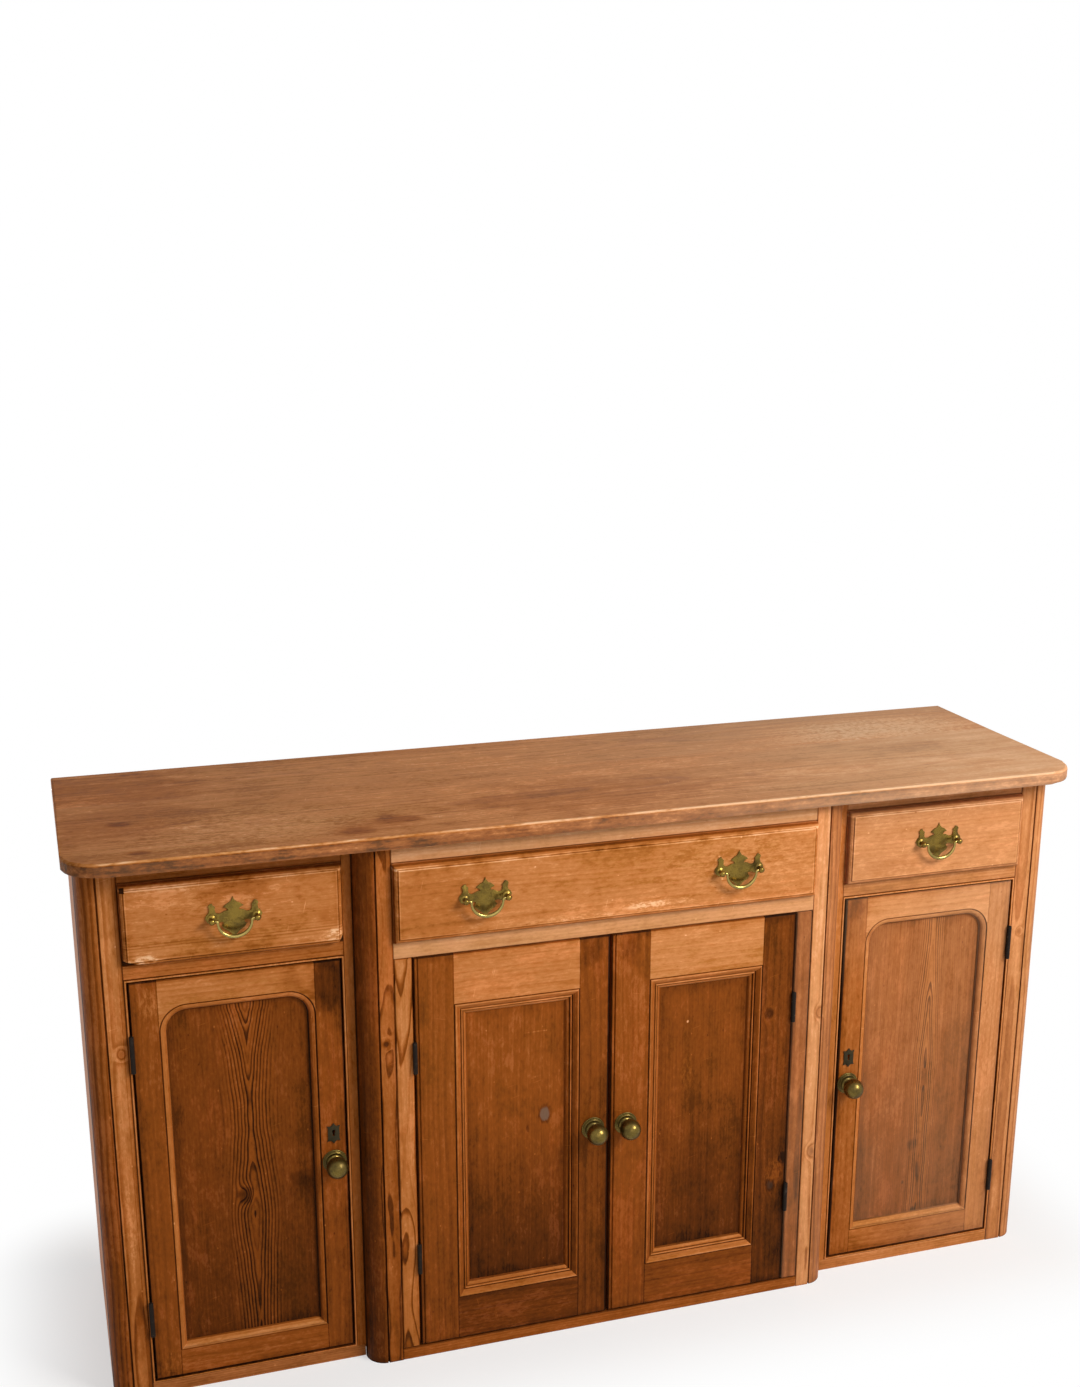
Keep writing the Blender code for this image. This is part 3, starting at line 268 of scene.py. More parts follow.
def handMarks(level, wood, flat, soft, shown):
    # stains, rubbed places and holes: soft ellipses with ragged rims; what is rubbed pale breaks into
    # flecks; some marks are painted shade, painted shadow and painted sheen, and holes are painted dark for
    # the shade inside them
    flecked = (soft["grit"] + soft["mottle"] * 0.4).rise(*markLook["fleck"])
    flecked = flecked * markLook["fleckMore"] + markLook["fleckLeast"]
    for markA, markL, wideA, wideL, amount in wood["marks"]:
        offA, offL = (flat[0] - markA) / wideA, (flat[1] - markL) / wideL
        far = (offA * offA + offL * offL).root() + soft["mottle"] * 1.4 + soft["drift"] * 0.8
        stain = far.fall(*markLook["rim"]) * shown
        level += stain * (flecked * amount if amount > 0.0 else amount)
    # painted shade: a hole made dark on the flat face
    for holeA, holeL, halfA, halfL in wood["holes"]:
        inside = (abs(flat[0] - holeA) / halfA).most(abs(flat[1] - holeL) / halfL) + soft["mottle"] * 0.5
        level -= inside.fall(*holeLook["rim"]) * holeLook["dark"]
    return level


def pine(name, wood):
    # tone = base - late wood + drift + fibre + wear, coloured by the pine scale
    wood = {**commonWood, **wood}
    wax = {"Specular IOR Level": wood["shine"], "Specular Tint": waxTint}
    material, shader, point = newMaterial(name, wax)
    across, depth, along = (point.part(axis) for axis in grainOrder[wood["grain"]])
    flat = across, along
    tone, seed = wood["tone"], wood["seed"]
    if wood["members"]:
        across, depth, along, tone, seed = wood["members"](point, across, depth, along, wood)
    spot = point.vector(across, depth, along)
    if isinstance(seed, Wire):
        apart = point.vector(seed * 0.31, seed * 0.17, seed * 0.53)
        spot = point.node("ShaderNodeVectorMath", {0: spot, 1: apart}, {"operation": "ADD"})
        seed = 0.0
    soft = {  # slow and fine changes that everything below shares
        word: spot.noise(scale, seed + shift, detail, rough)
        for word, (scale, shift, detail, rough) in softNoise.items()
    }
    wiggle, fibre, streak, drift, mottle, grit = soft.values()
    late = growthRings(wood, (across, depth), spot, seed, soft, flat)
    level = tone - late * wood["contrast"]
    for word in ("fibre", "streak", "drift", "mottle", "grit"):
        level += soft[word] * wood[word]
    # dry rubbed patches and dark smudges, with broken rims
    patch = mottle + drift * 0.9 + grit * 0.8 + streak * 0.5
    dry, smudge = patch.rise(*patchLook["dry"]), patch.rise(*patchLook["smudge"])
    level += (dry - smudge) * wood["patch"]
    ashen = None
    for knotA, knotL, size, grey in wood["knots"]:
        far = knotDistance(flat, knotA, knotL, size)
        far += wiggle * 1.2 + mottle * 1.1 + grit * 0.5
        core = far.fall(*knotLook["coreEnd"])
        rim = far.rise(*knotLook["rimFrom"]) * far.fall(*knotLook["rimEnd"])
        halo = far.rise(*knotLook["haloFrom"]) * far.fall(*knotLook["haloEnd"])
        level = level - rim * knotLook["rim"] - core * (knotLook["core"] + grit * 0.5)
        level += halo * knotLook["halo"]
        ashen = core * grey if ashen is None else ashen.most(core * grey)
    # marks and edge lines stop a little way in from the front, so that edges and insides stay plain
    front = wood["front"]
    shown = point.part("Y").fall(front, front + surface["markFade"]) if front else 1.0
    level = handMarks(level, wood, flat, soft, shown)
    # painted shade where shades run down Z or across the posts' rounds; shades along Y make insides paler
    for axis, clear, full, amount in wood["shades"]:
        level += point.part(axis).rise(clear, full) * amount
    # dark grooves and joints, and painted shadow in the gaps beside some doors
    for axis, place, width, amount in wood["grooves"]:
        groove = abs(point.part(axis) - place + wiggle * surface["grooveWobble"])
        groove = groove.fall(width * 0.45, width)
        level += groove * (0.9 + streak * 0.8) * shown * amount
    edge = boardEdges(wood["face"], *flat)
    for inset, width, amount in wood["lines"]:
        line = abs(edge - inset + wiggle * surface["lineWobble"]).fall(width * 0.3, width)
        level += line * (0.8 + streak * 0.7) * shown * amount
    wear, wearWidth = wood["wear"]
    rubbed = (edge + mottle * 0.006 + fibre * 0.003).fall(0.0, wearWidth)
    # dirt and painted shade: each face darkens towards its edges, where it meets the parts beside it
    dirt, dirtAndShadeWidth = wood["dirt"]
    edgeDirtAndShade = (edge + drift * 0.03 + mottle * 0.02).fall(0.0, dirtAndShadeWidth)
    level += rubbed * wear - edgeDirtAndShade * dirt
    speck, lot = spot.cells(speckLook["cells"], seed + 3.0)
    speck += fibre * 0.12
    fleck = speck.fall(*speckLook["fleck"]) * lot.rise(*speckLook["fleckShare"])
    dint = speck.fall(*speckLook["dint"]) * lot.fall(*speckLook["dintShare"])
    slantA, slantL = scratchLook["slant"]
    slanted = point.vector(across + along * slantA, depth, along - across * slantL)
    stroke, strokeLot = slanted.cells(scratchLook["cells"], seed + 5.0)
    scratch = stroke.fall(*scratchLook["width"]) * strokeLot.rise(*scratchLook["share"])
    level += fleck * wood["flecks"] - dint * wood["dints"] + scratch * wood["scratches"]
    if wood["extra"]:
        level = wood["extra"](level, point, soft)
    colour = level.ramp(pineScale)
    cast = drift * 1.2 + mottle * 0.7 + streak * 0.4
    colour = (cast.rise(0.0, 0.32) * wood["hue"]).blend(colour, orangeCast, "MULTIPLY")
    colour = (cast.rise(0.0, -0.32) * wood["hue"]).blend(colour, oliveCast, "MULTIPLY")
    if ashen is not None:
        colour = ashen.blend(colour, ashenKnot)
    # dusty wax in the open grain; on the worktop the dust that grows to the right also stands for a painted
    # sheen
    grey = dry * wood["patch"] * 0.6 + wood["grey"]
    for axis, clear, full, amount in wood["greyFrom"]:
        grey += point.part(axis).rise(clear, full) * amount
    dust = (streak * 0.6 + mottle * 0.7 - drift * 0.9 + 1.0) * grey
    colour = dust.blend(colour, dryDust)
    feed(shader, "Base Color", colour)
    gloss = mottle * 0.22 + drift * 0.14 + wood["rough"] + rubbed * 0.06 - late * 0.08
    feed(shader, "Roughness", gloss)
    height = fibre * 0.3 - late * 0.45 + wiggle * 0.5
    height = height - fleck * 0.5 - dint * 0.8 - scratch * 0.5
    raised(height, shader, wood["bump"], surface["bump"])
    return material


def span(node, axes):
    # a node's extent along two axes, as ((low, high), (low, high))
    low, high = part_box(node)
    return tuple((low["XYZ".index(axis)], high["XYZ".index(axis)]) for axis in axes)


def dress(names, material):
    for name in names:
        slots = nodes[name].data.materials
        if slots:
            slots[0] = material
        else:
            slots.append(material)


def board(node, wood):
    # gives one CAD board its own piece of pine
    axes = grainOrder[wood["grain"]]
    wood = {"face": span(node, (axes[0], axes[2])), **wood}
    if "frontDepth" in wood:
        wood["front"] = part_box(node)[0].y + wood["frontDepth"]
    dress([node], pine("pine " + node, wood))


def dryBehind(node, wood, depths, dust, tone):
    # the wood with a dusty, paler inside, which comes in between two depths behind the node's front
    start, full = (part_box(node)[0].y + depth for depth in depths)
    return {
        **wood, "greyFrom": wood.get("greyFrom", []) + [("Y", start, full, dust)],
        "shades": wood.get("shades", []) + [("Y", start, full, tone)],
    }


# worktop
topFront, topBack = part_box("worktop_front_board"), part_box("worktop_back_board")
topFace = (topFront[0].y, topBack[1].y), (topFront[0].x, topFront[1].x)
worktopArris = {
    "width": (0.0016, 0.0036), "rubbed": 0.46, "edgeFrom": (0.0025, 0.005), "edgeDark": 0.215,
    "underFrom": (0.012, 0.021), "underDark": 0.08, "sunnedFrom": (0.1, 0.75), "sunned": 0.14,
}


def worktopEdge(level, point, parts):
    # the front arris is rubbed pale in thin broken runs, with a painted highlight; the narrow edge below it
    # is darker and blotched, with painted shade along its lower part
    fromFront = point.part("Y") - topFront[0].y
    fromTop = topFront[1].z - point.part("Z")
    arris = (fromFront + fromTop + parts["mottle"] * 0.004).fall(*worktopArris["width"])
    runs = (parts["drift"] * 1.6 + parts["mottle"] * 1.5 + parts["streak"] * 0.8 + 0.55).rise(0.25, 0.8)
    below = fromTop.rise(*worktopArris["edgeFrom"])
    blotch = parts["streak"] * 0.4 + parts["mottle"] * 0.45 + parts["drift"] * 0.3 + parts["grit"] * 0.3
    level -= below * (worktopArris["edgeDark"] - blotch)
    # painted shade along the lower part of the front edge
    level -= fromTop.rise(*worktopArris["underFrom"]) * worktopArris["underDark"]
    level += arris * (runs * 0.8 + 0.2) * worktopArris["rubbed"]
    # painted sheen: the top grows paler towards the right
    sunned = point.part("X").rise(*worktopArris["sunnedFrom"]) * (1.0 - below)
    return level + sunned * worktopArris["sunned"]


worktopWood = {
    "grain": "top", "face": topFace, "sway": (0.05, 1.2), "heave": (0.06, 2.0), "contrast": 0.09,
    "wear": (0.0, 0.006), "dirt": (0.03, 0.05), "streak": 0.24, "fibre": 0.14, "shine": 0.02, "patch": 0.05,
}
worktopFrontWood = {
    **worktopWood, "tone": 0.7, "seed": 2.0, "pith": (-0.1, 0.8), "spacing": 0.005, "drift": 0.28,
    "mottle": 0.2, "flecks": 0.16, "dints": 0.22, "scratches": 0.18, "extra": worktopEdge,
    # dust and painted sheen: greyer towards the right
    "greyFrom": [("X", -0.3, 0.75, 0.34), ("Z", topFront[1].z - 0.003, topFront[1].z - 0.006, 0.1)],
    "marks": [
        (-0.191, -0.394, 0.022, 0.03, -0.2), (-0.155, -0.325, 0.02, 0.042, -0.18),
        (-0.172, -0.355, 0.04, 0.09, -0.06), (-0.058, -0.728, 0.012, 0.022, -0.2),
        (-0.196, -0.708, 0.01, 0.02, -0.22), (-0.05, -0.72, 0.11, 0.13, -0.1),
        (-0.02, 0.62, 0.04, 0.09, -0.08), (-0.15, 0.7, 0.03, 0.06, -0.05),
        (-0.11, 0.02, 0.11, 0.3, -0.1), (-0.17, 0.3, 0.012, 0.16, 0.05),
        (-0.13, -0.56, 0.1, 0.2, 0.07),
    ],
}
worktopBackWood = {
    **worktopWood, "tone": 0.715, "seed": 9.0, "pith": (0.16, 0.79), "spacing": 0.0046, "drift": 0.26,
    # dust and painted sheen: greyer towards the right
    "mottle": 0.18, "greyFrom": [("X", -0.3, 0.75, 0.36)],
    # painted shadow at the back left, and painted sheen at the back right
    "marks": [(0.12, -0.75, 0.12, 0.2, -0.14), (0.1, 0.62, 0.1, 0.25, 0.22)],
}
board("worktop_front_board", worktopFrontWood)
board("worktop_back_board", worktopBackWood)

# posts and strips of the carcass
boldLines = (0.6, 0.9, 0.93)  # thin dark late wood
jointLine = [(0.0003, 0.0014, -0.34)]  # dirt where two boards meet
postWood = {"grain": "up", "lines": jointLine, "wear": (0.06, 0.003)}
cornerLeftWood = {
    "tone": 0.6, "seed": 21.0, "pith": (-0.752, -0.15), "sway": (0.008, 1.2), "spacing": 0.004,
    "contrast": 0.22, "streak": 0.22, "knots": [(-0.751, 0.585, 0.006, 0.0)],
    "grooves": [("X", -0.77, 0.0018, -0.4), ("X", -0.7465, 0.001, -0.12)],
    # painted shade: the quarter round darkens towards the left, where it turns from the light
    "shades": [("Z", 0.8, 0.0, -0.12), ("X", -0.767, -0.776, -0.17)],
    "marks": [(-0.757, 0.3, 0.01, 0.1, 0.06), (-0.757, 0.1, 0.012, 0.05, -0.08)],
}
cornerRightWood = {
    "tone": 0.64, "seed": 27.0, "pith": (0.752, -0.15), "sway": (0.008, 1.2), "spacing": 0.0042,
    "contrast": 0.18, "streak": 0.2, "knots": [(0.757, 0.6, 0.005, 0.0)], "grey": 0.09,
    "grooves": [("X", 0.77, 0.0018, -0.4)], "shades": [("Z", 0.6, 0.0, -0.06)],
}
breakLeftWood = {
    "tone": 0.425, "seed": 33.0, "pith": (-0.358, -0.194), "sway": (0.03, 4.0), "heave": (0.012, 5.0),
    "spacing": 0.0062, "late": boldLines, "contrast": 0.28, "figure": (0.012, 0.024, 0.08),
    "wear": (0.04, 0.003), "wiggle": 0.006, "knots": [(-0.36, 0.56, 0.005, 0.0)],
    "grooves": [("X", -0.3716, 0.0019, -0.38)], "climbBy": 0.014,
    "climb": [(0.0, 0.6), (0.25, 0.3), (0.5, 0.55), (0.68, 0.2), (0.85, 0.95), (1.0, 0.7)],
    # painted shade: the post darkens left of its groove, where its round turns from the light
    "shades": [("Z", 0.7, 0.0, -0.08), ("X", -0.3705, -0.376, -0.16)],
}
breakRightWood = {
    "tone": 0.73, "seed": 35.0, "pith": (0.352, -0.182), "sway": (0.012, 2.0), "heave": (0.02, 3.5),
    "spacing": 0.0052, "contrast": 0.18, "streak": 0.24, "wear": (0.05, 0.003), "grey": 0.1,
    "knots": [(0.366, 0.514, 0.006, 0.0), (0.3634, 0.259, 0.007, 0.2)],
    "grooves": [("X", 0.3716, 0.0019, -0.36)],
    # painted shade: the post darkens right of its groove, across its round
    "shades": [("Z", 0.6, 0.0, -0.05), ("X", 0.3705, 0.376, -0.25)],
    "marks": [(0.365, 0.047, 0.003, 0.028, -0.3), (0.362, 0.505, 0.006, 0.03, -0.1),
              (0.362, 0.215, 0.008, 0.022, 0.05), (0.366, 0.14, 0.003, 0.05, -0.12)],
}
fillerLeftWood = {
    "tone": 0.575, "seed": 38.0, "pith": (-0.338, -0.194), "sway": (0.034, 4.0), "heave": (0.014, 5.0),
    "spacing": 0.0066, "late": boldLines, "contrast": 0.36, "figure": (0.012, 0.03, 0.6),
    "wear": (0.04, 0.003), "wiggle": 0.0065, "climbBy": 0.02, "shades": [("Z", 0.7, 0.0, -0.08)],
    "climb": [(0.0, 0.25), (0.12, 0.45), (0.28, 0.2), (0.4, 0.62), (0.55, 0.85), (0.8, 0.45),
              (1.0, 0.05)],
}
fillerRightWood = {
    "tone": 0.42, "seed": 44.0, "pith": (0.34, -0.186), "sway": (0.01, 2.0), "heave": (0.016, 3.0),
    "spacing": 0.005, "contrast": 0.16, "streak": 0.22, "grey": 0.1,
    "grooves": [("X", 0.3474, 0.003, -0.4)], "shades": [("Z", 0.6, 0.0, -0.06)],
}
for node, wood in {
    "corner_post_left": cornerLeftWood, "corner_post_right": cornerRightWood,
    "breakfront_post_left": breakLeftWood, "breakfront_post_right": breakRightWood,
    "filler_strip_left": fillerLeftWood, "filler_strip_right": fillerRightWood,
}.items():
    board(node, {**postWood, **wood})

railTones = {  # tone, dust, seed, and how much paler the right half is
    "top_rail_left": (0.53, 0.0, 51.0, 0.0), "top_rail_centre": (0.8, 0.18, 53.0, 0.0),
    "top_rail_right": (0.66, 0.12, 55.0, 0.0), "drawer_board_left": (0.5, 0.0, 57.0, 0.0),
    "drawer_board_centre": (0.765, 0.16, 59.0, 0.0), "drawer_board_right": (0.63, 0.1, 61.0, 0.0),
    "bottom_board": (0.42, 0.0, 63.0, 0.13),
}
railWood = {
    "grain": "level", "pith": (0.79, -0.14), "contrast": 0.1, "frontDepth": 0.003, "streak": 0.2,
    "lines": [(0.0004, 0.0014, -0.26)], "wear": (0.08, 0.0036), "dirt": (0.03, 0.008),
}
railInside = {"depths": (0.02, 0.05), "dust": 0.14, "tone": 0.66}
for node, (tone, grey, seed, paler) in railTones.items():
    wood = {**railWood, "tone": tone, "seed": seed, "grey": grey, "shades": [("X", 0.3, 0.5, paler)]}
    board(node, dryBehind(node, wood, railInside["depths"], railInside["dust"], railInside["tone"] - tone))
beadWidth = 0.0042
for word, tone in (("left", 0.58), ("right", 0.64)):
    board("door_bead_" + word, {
        "grain": "up", "tone": tone, "seed": 66.0, "pith": (0.5, 0.1), "contrast": 0.03, "mottle": 0.2,
        "wear": (0.0, 0.001), "dirt": (0.0, 0.001), "shades": [("Z", 0.6, 0.0, -0.08)],
        # dark joints at both sides, and a painted highlight along the crest
        "lines": [(0.0, 0.0013, -0.5), (beadWidth / 2, 0.0013, 0.12), (beadWidth, 0.0013, -0.55)],
    })
for word, seed in (("left", 71.0), ("right", 74.0)):
    board("end_panel_" + word, {
        "grain": "end", "tone": 0.56, "seed": seed, "pith": (0.06, 0.86), "sway": (0.05, 1.2),
        "spacing": 0.0052, "contrast": 0.14, "figure": (0.0, 0.16, 0.3), "shades": [("Z", 0.5, 0.0, -0.06)],
        "knots": [(0.02, 0.55, 0.01, 0.3), (0.12, 0.24, 0.008, 0.1)],
    })
print("worktop and carcass dressed")

# inside pine, paler and unwaxed
insideWood = {
    "tone": 0.72, "contrast": 0.14, "rough": 0.62, "grey": 0.2, "flecks": 0.05, "scratches": 0.03,
}
for word, side, front in (("left", -1, -0.26), ("right", 1, -0.16)):
    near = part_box("divider_" + word)[0].y  # only the waxed front edge is dark
    board("divider_" + word, {
        **insideWood, "grain": "end", "seed": 81.0 + side, "pith": (0.02, side * 0.46),
        "grey": 0.0, "greyFrom": [("Y", near + 0.004, near + 0.02, 0.2)],
        "shades": [("Y", near + 0.012, near + 0.002, front), ("Z", 0.7, 0.0, -0.06)],
    })
for word, seed in (("left", 84.0), ("centre", 86.0), ("right", 88.0)):
    low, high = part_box("drawer_box_" + word)
    board("drawer_box_" + word, {
        **insideWood, "grain": "deep", "seed": seed, "pith": ((low.x + high.x) / 2, 0.6),
    })

backing = {"boards": 12, "toneSpread": 0.16, "tone": 0.6, "apart": 3.7}


def separateBoards(point, across, depth, along, wood):
    # each board of the back has its own place in the log
    low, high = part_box("back_boards")
    width = (high.x - low.x) / backing["boards"]
    lane = (across - low.x) * (1.0 / width)
    number = lane.floor()
    middle = (lane - number - 0.5) * width
    tone = number.chance() * backing["toneSpread"] + wood["tone"]
    return middle, depth, along, tone, number * backing["apart"]


board("back_boards", {
    **insideWood, "grain": "up", "seed": 0.0, "pith": (0.01, 0.19), "members": separateBoards,
    "tone": backing["tone"], "wear": (0.0, 0.001), "dirt": (0.0, 0.001),
})

# drawer fronts: the gap round them, the quirk of the moulded edge, darkened with dirt and painted shade, and
# the lip inside it, paler with a painted highlight
quirk = 0.0066
frontEdge = [(0.0004, 0.0017, -0.36), (quirk, 0.0013, -0.32), (0.0084, 0.0014, 0.1)]
lipLook = {
    "width": (0.0008, 0.003), "runs": (0.2, 0.7), "rubbed": 0.34, "ragged": (0.006, 0.004),
    "behind": (0.0085, 0.0105), "dirt": 0.55,
}


def drawerLip(node, broken):
    # the upper arris is rubbed pale and carries a painted highlight; where lower corners have broken off,
    # the wood behind is painted near black as the shade inside the opening
    low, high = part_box(node)

    def extra(level, point, parts):
        x, y, z = (point.part(axis) for axis in "XYZ")
        # wear and a painted highlight: pale broken runs along the top arris
        lip = abs(high.z - z - quirk + parts["wiggle"] * 0.001).fall(*lipLook["width"])
        runs = (parts["drift"] * 1.2 + parts["mottle"] * 1.2 + 0.62).rise(*lipLook["runs"])
        level += lip * runs * lipLook["rubbed"]
        if broken:
            (wide, tall), (fadeX, fadeZ) = broken, lipLook["ragged"]
            corner = (x - low.x).least(high.x - x).fall(wide, wide + fadeX)
            corner *= (z - low.z).fall(tall, tall + fadeZ)
            # painted shade: the inside of a broken corner made near black
            level -= corner * (y - low.y).rise(*lipLook["behind"]) * lipLook["dirt"]
        return level
    return extra


drawerWood = {
    "grain": "level", "frontDepth": 0.009, "lines": frontEdge, "pith": (0.7, -0.1), "sway": (0.05, 1.5),
    "wear": (0.05, 0.003), "dirt": (0.08, 0.014), "mottle": 0.2, "drift": 0.28,
    "streak": 0.08, "fibre": 0.09, "dints": 0.2, "flecks": 0.26, "scratches": 0.16, "patch": 0.04,
    "broken": None,  # how far along and up the lower corners are broken off
}
drawerLeftWood = {
    "tone": 0.635, "seed": 101.0, "pith": (0.742, -0.185), "sway": (0.012, 2.0), "heave": (0.008, 4.0),
    "spacing": 0.0042, "contrast": 0.16, "figure": (0.008, 0.034, 0.1), "dirt": (0.1, 0.018),
    "streak": 0.11, "fibre": 0.12, "scratches": 0.18, "patch": 0.06, "broken": (0.036, 0.012),
    # painted shade: a small square hole painted dark
    "holes": [(0.8425, -0.7345, 0.004, 0.0034)],
    "marks": [(0.825, -0.565, 0.02, 0.06, -0.1), (0.815, -0.62, 0.016, 0.08, 0.05),
              (0.742, -0.432, 0.014, 0.02, 0.26), (0.733, -0.708, 0.01, 0.026, 0.26),
              (0.77, -0.44, 0.02, 0.02, -0.06), (0.8365, -0.65, 0.004, 0.08, 0.08)],
}
drawerCentreWood = {
    "tone": 0.655, "seed": 105.0, "spacing": 0.005,
    "marks": [(0.744, 0.06, 0.01, 0.08, 0.16), (0.736, -0.06, 0.005, 0.11, 0.12),
              (0.785, -0.28, 0.08, 0.11, -0.06), (0.8, 0.22, 0.06, 0.16, 0.04)],
}
drawerRightWood = {
    "tone": 0.665, "seed": 109.0, "spacing": 0.0048, "drift": 0.26, "flecks": 0.24, "grey": 0.14,
    "marks": [(0.752, 0.5, 0.02, 0.06, -0.05)],
}
for word, wood in {"left": drawerLeftWood, "centre": drawerCentreWood, "right": drawerRightWood}.items():
    node, wood = "drawer_front_" + word, {**drawerWood, **wood}
    board(node, {**wood, "extra": drawerLip(node, wood["broken"])})
print("drawers dressed")


# doors
def sightDistance(point, sight, radius):
    # signed distance outside the panel that shows: square and mitred, or with its two top corners rounded
    (lowX, lowZ), (highX, highZ) = sight
    x, z = point.part("X"), point.part("Z")
    if not radius:
        outX = abs(x - (lowX + highX) / 2) - (highX - lowX) / 2
        return outX.most(abs(z - (lowZ + highZ) / 2) - (highZ - lowZ) / 2)
    dx = abs(x - (lowX + highX) / 2) - ((highX - lowX) / 2 - radius)
    dz = z - (highZ - radius)
    across, up = dx.most(0.0), dz.most(0.0)
    top = (across * across + up * up).root() + dx.most(dz).least(0.0) - radius
    return top.most(lowZ - z)


def framedMembers(door):
    # the two stiles run the door's full height, the rails lie between them, and the moulding is mitred
    (lowX, lowZ), (highX, highZ) = door["sight"]
    middle, height = (lowX + highX) / 2, (lowZ + highZ) / 2
    halfX, halfZ, wide = (highX - lowX) / 2, (highZ - lowZ) / 2, door["stile"]
    stileTone, railTone, mouldTone = door["stileTone"], door["railTone"], door["mouldTone"]

    def members(point, across, depth, along, wood):
        x, z = point.part("X"), point.part("Z")
        outX, outZ = abs(x - middle) - halfX, abs(z - height) - halfZ
        ahead = point.part("Y") < door["inside"]
        mould = (sightDistance(point, door["sight"], door["radius"]) < wide) * ahead
        level = mould.pick(outX - ahead * wide < 0.0, outZ > outX)
        right, upper = x > middle, z > height
        newAcross, newAlong = level.pick(outX, outZ), level.pick(z, x)
        plain = level.pick(right.pick(*stileTone), upper.pick(*railTone))
        # painted light and shade: each run of the moulding has its own tone by the way it faces
        trim = level.pick(right.pick(mouldTone[0], mouldTone[1]), upper.pick(mouldTone[2], mouldTone[3]))
        seed = level.pick(right * 5.0, upper * 7.0 + 11.0) + mould * 2.3 + wood["seed"]
        return newAcross, depth, newAlong, mould.pick(plain, trim), seed
    return members


doorWood = {
    "grain": "up", "pith": (0.012, -0.14), "sway": (0.01, 1.5), "contrast": 0.06, "tone": 0.5,
    "streak": 0.12, "lines": [(0.0004, 0.0018, -0.36)], "wear": (0.04, 0.0026), "dirt": (0.09, 0.014),
    "frontDepth": 0.003,
}
doorInside = {"mould": 0.0105, "depths": (0.012, 0.018), "dust": 0.1, "tone": 0.06}
shoulderLine = {"width": (0.0003, 0.0011), "fade": 0.002, "dark": 0.2}


def framedDoor(word, wood):
    # one door frame, whose stiles, rails and moulding are separate pieces of pine
    node = "door_frame_" + word
    wood = dryBehind(node, wood, doorInside["depths"], doorInside["dust"], doorInside["tone"])
    wood["inside"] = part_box(node)[0].y + doorInside["mould"]
    sight, stile = wood["sight"], wood["stile"]
    middle, inner = (sight[0][0] + sight[1][0]) / 2, (sight[1][0] - sight[0][0]) / 2 + stile

    def extra(level, point, parts):
        # shoulder lines where rails meet stiles, dirt and painted shade in the moulding's quirks, and pale
        # crests between them with wear and a painted highlight
        away = sightDistance(point, sight, wood["radius"])
        ahead = point.part("Y") < wood["inside"]
        shoulder = abs(abs(point.part("X") - middle) - inner + parts["wiggle"] * 0.0006)
        shoulder = shoulder.fall(*shoulderLine["width"]) * away.rise(stile, stile + shoulderLine["fade"])
        level -= shoulder * shoulderLine["dark"]
        for inset, width, amount in wood["moulding"]:
            line = abs(away - inset).fall(width * 0.3, width) * ahead
            level += line * (parts["drift"] * 0.9 + parts["mottle"] * 0.7 + 0.85) * amount
        return level
    board(node, {**doorWood, **wood, "members": framedMembers(wood), "extra": extra})


sideSight = (0.4744, 0.0824), (0.6826, 0.6411)
# the dark quirks hold dirt and painted shade; the pale crests are wear and painted highlights
sideMoulding = [  # quirks dark, crests pale
    (0.0006, 0.0018, -0.38), (0.0112, 0.0016, -0.38), (0.0065, 0.003, 0.1), (0.0092, 0.0012, 0.12),
]
# the dark quirks and sight edge hold dirt and painted shade; the pale crest, bead and inner slope are wear
# and painted highlights
centreMoulding = [  # quirks and sight edge dark, crest, bead and inner slope pale
    (0.0215, 0.0014, -0.4), (0.0109, 0.001, -0.34), (0.0067, 0.001, -0.34), (0.0002, 0.001, -0.3),
    (0.0192, 0.0018, 0.15), (0.0088, 0.0014, 0.15), (0.0036, 0.0022, 0.09),
]


def mirroredSight(sight):
    return (-sight[1][0], sight[0][1]), (-sight[0][0], sight[1][1])


sideDoor = {"stile": 0.012, "radius": 0.03, "moulding": sideMoulding}
centreDoor = {"stile": 0.022, "radius": 0.0, "moulding": centreMoulding}
# stiles left and right, rails lower and upper; moulding left, right, lower and upper, whose tones are
# painted light and shade by the way each run faces
doorLeftWood = {
    **sideDoor, "sight": mirroredSight(sideSight), "seed": 131.0, "flecks": 0.24,
    "stileTone": (0.39, 0.36), "railTone": (0.44, 0.63), "mouldTone": (0.5, 0.35, 0.64, 0.48),
    "shades": [("Z", 0.65, 0.05, -0.04)],
    # painted shade: the first two marks darken the top by the free edge
    "marks": [(-0.448, 0.665, 0.032, 0.055, -0.18), (-0.495, 0.665, 0.02, 0.03, -0.1),
              (-0.707, 0.66, 0.02, 0.03, 0.1), (-0.707, 0.05, 0.022, 0.03, 0.06)],
}
doorRightWood = {
    **sideDoor, "sight": sideSight, "seed": 137.0,
    "stileTone": (0.5, 0.64), "railTone": (0.55, 0.7), "mouldTone": (0.52, 0.48, 0.66, 0.58),
    # painted shadow: a dark band down the left edge, in the gap by the bead
    "shades": [("Z", 0.65, 0.05, -0.05)], "grooves": [("X", 0.4224, 0.0048, -0.55)],
    "greyFrom": [("X", 0.46, 0.7, 0.12), ("Z", 0.5, 0.69, 0.08)],
    # painted shade: both marks darken the top by the free edge
    "marks": [(0.448, 0.675, 0.022, 0.02, -0.12), (0.47, 0.63, 0.012, 0.016, -0.1)],
}
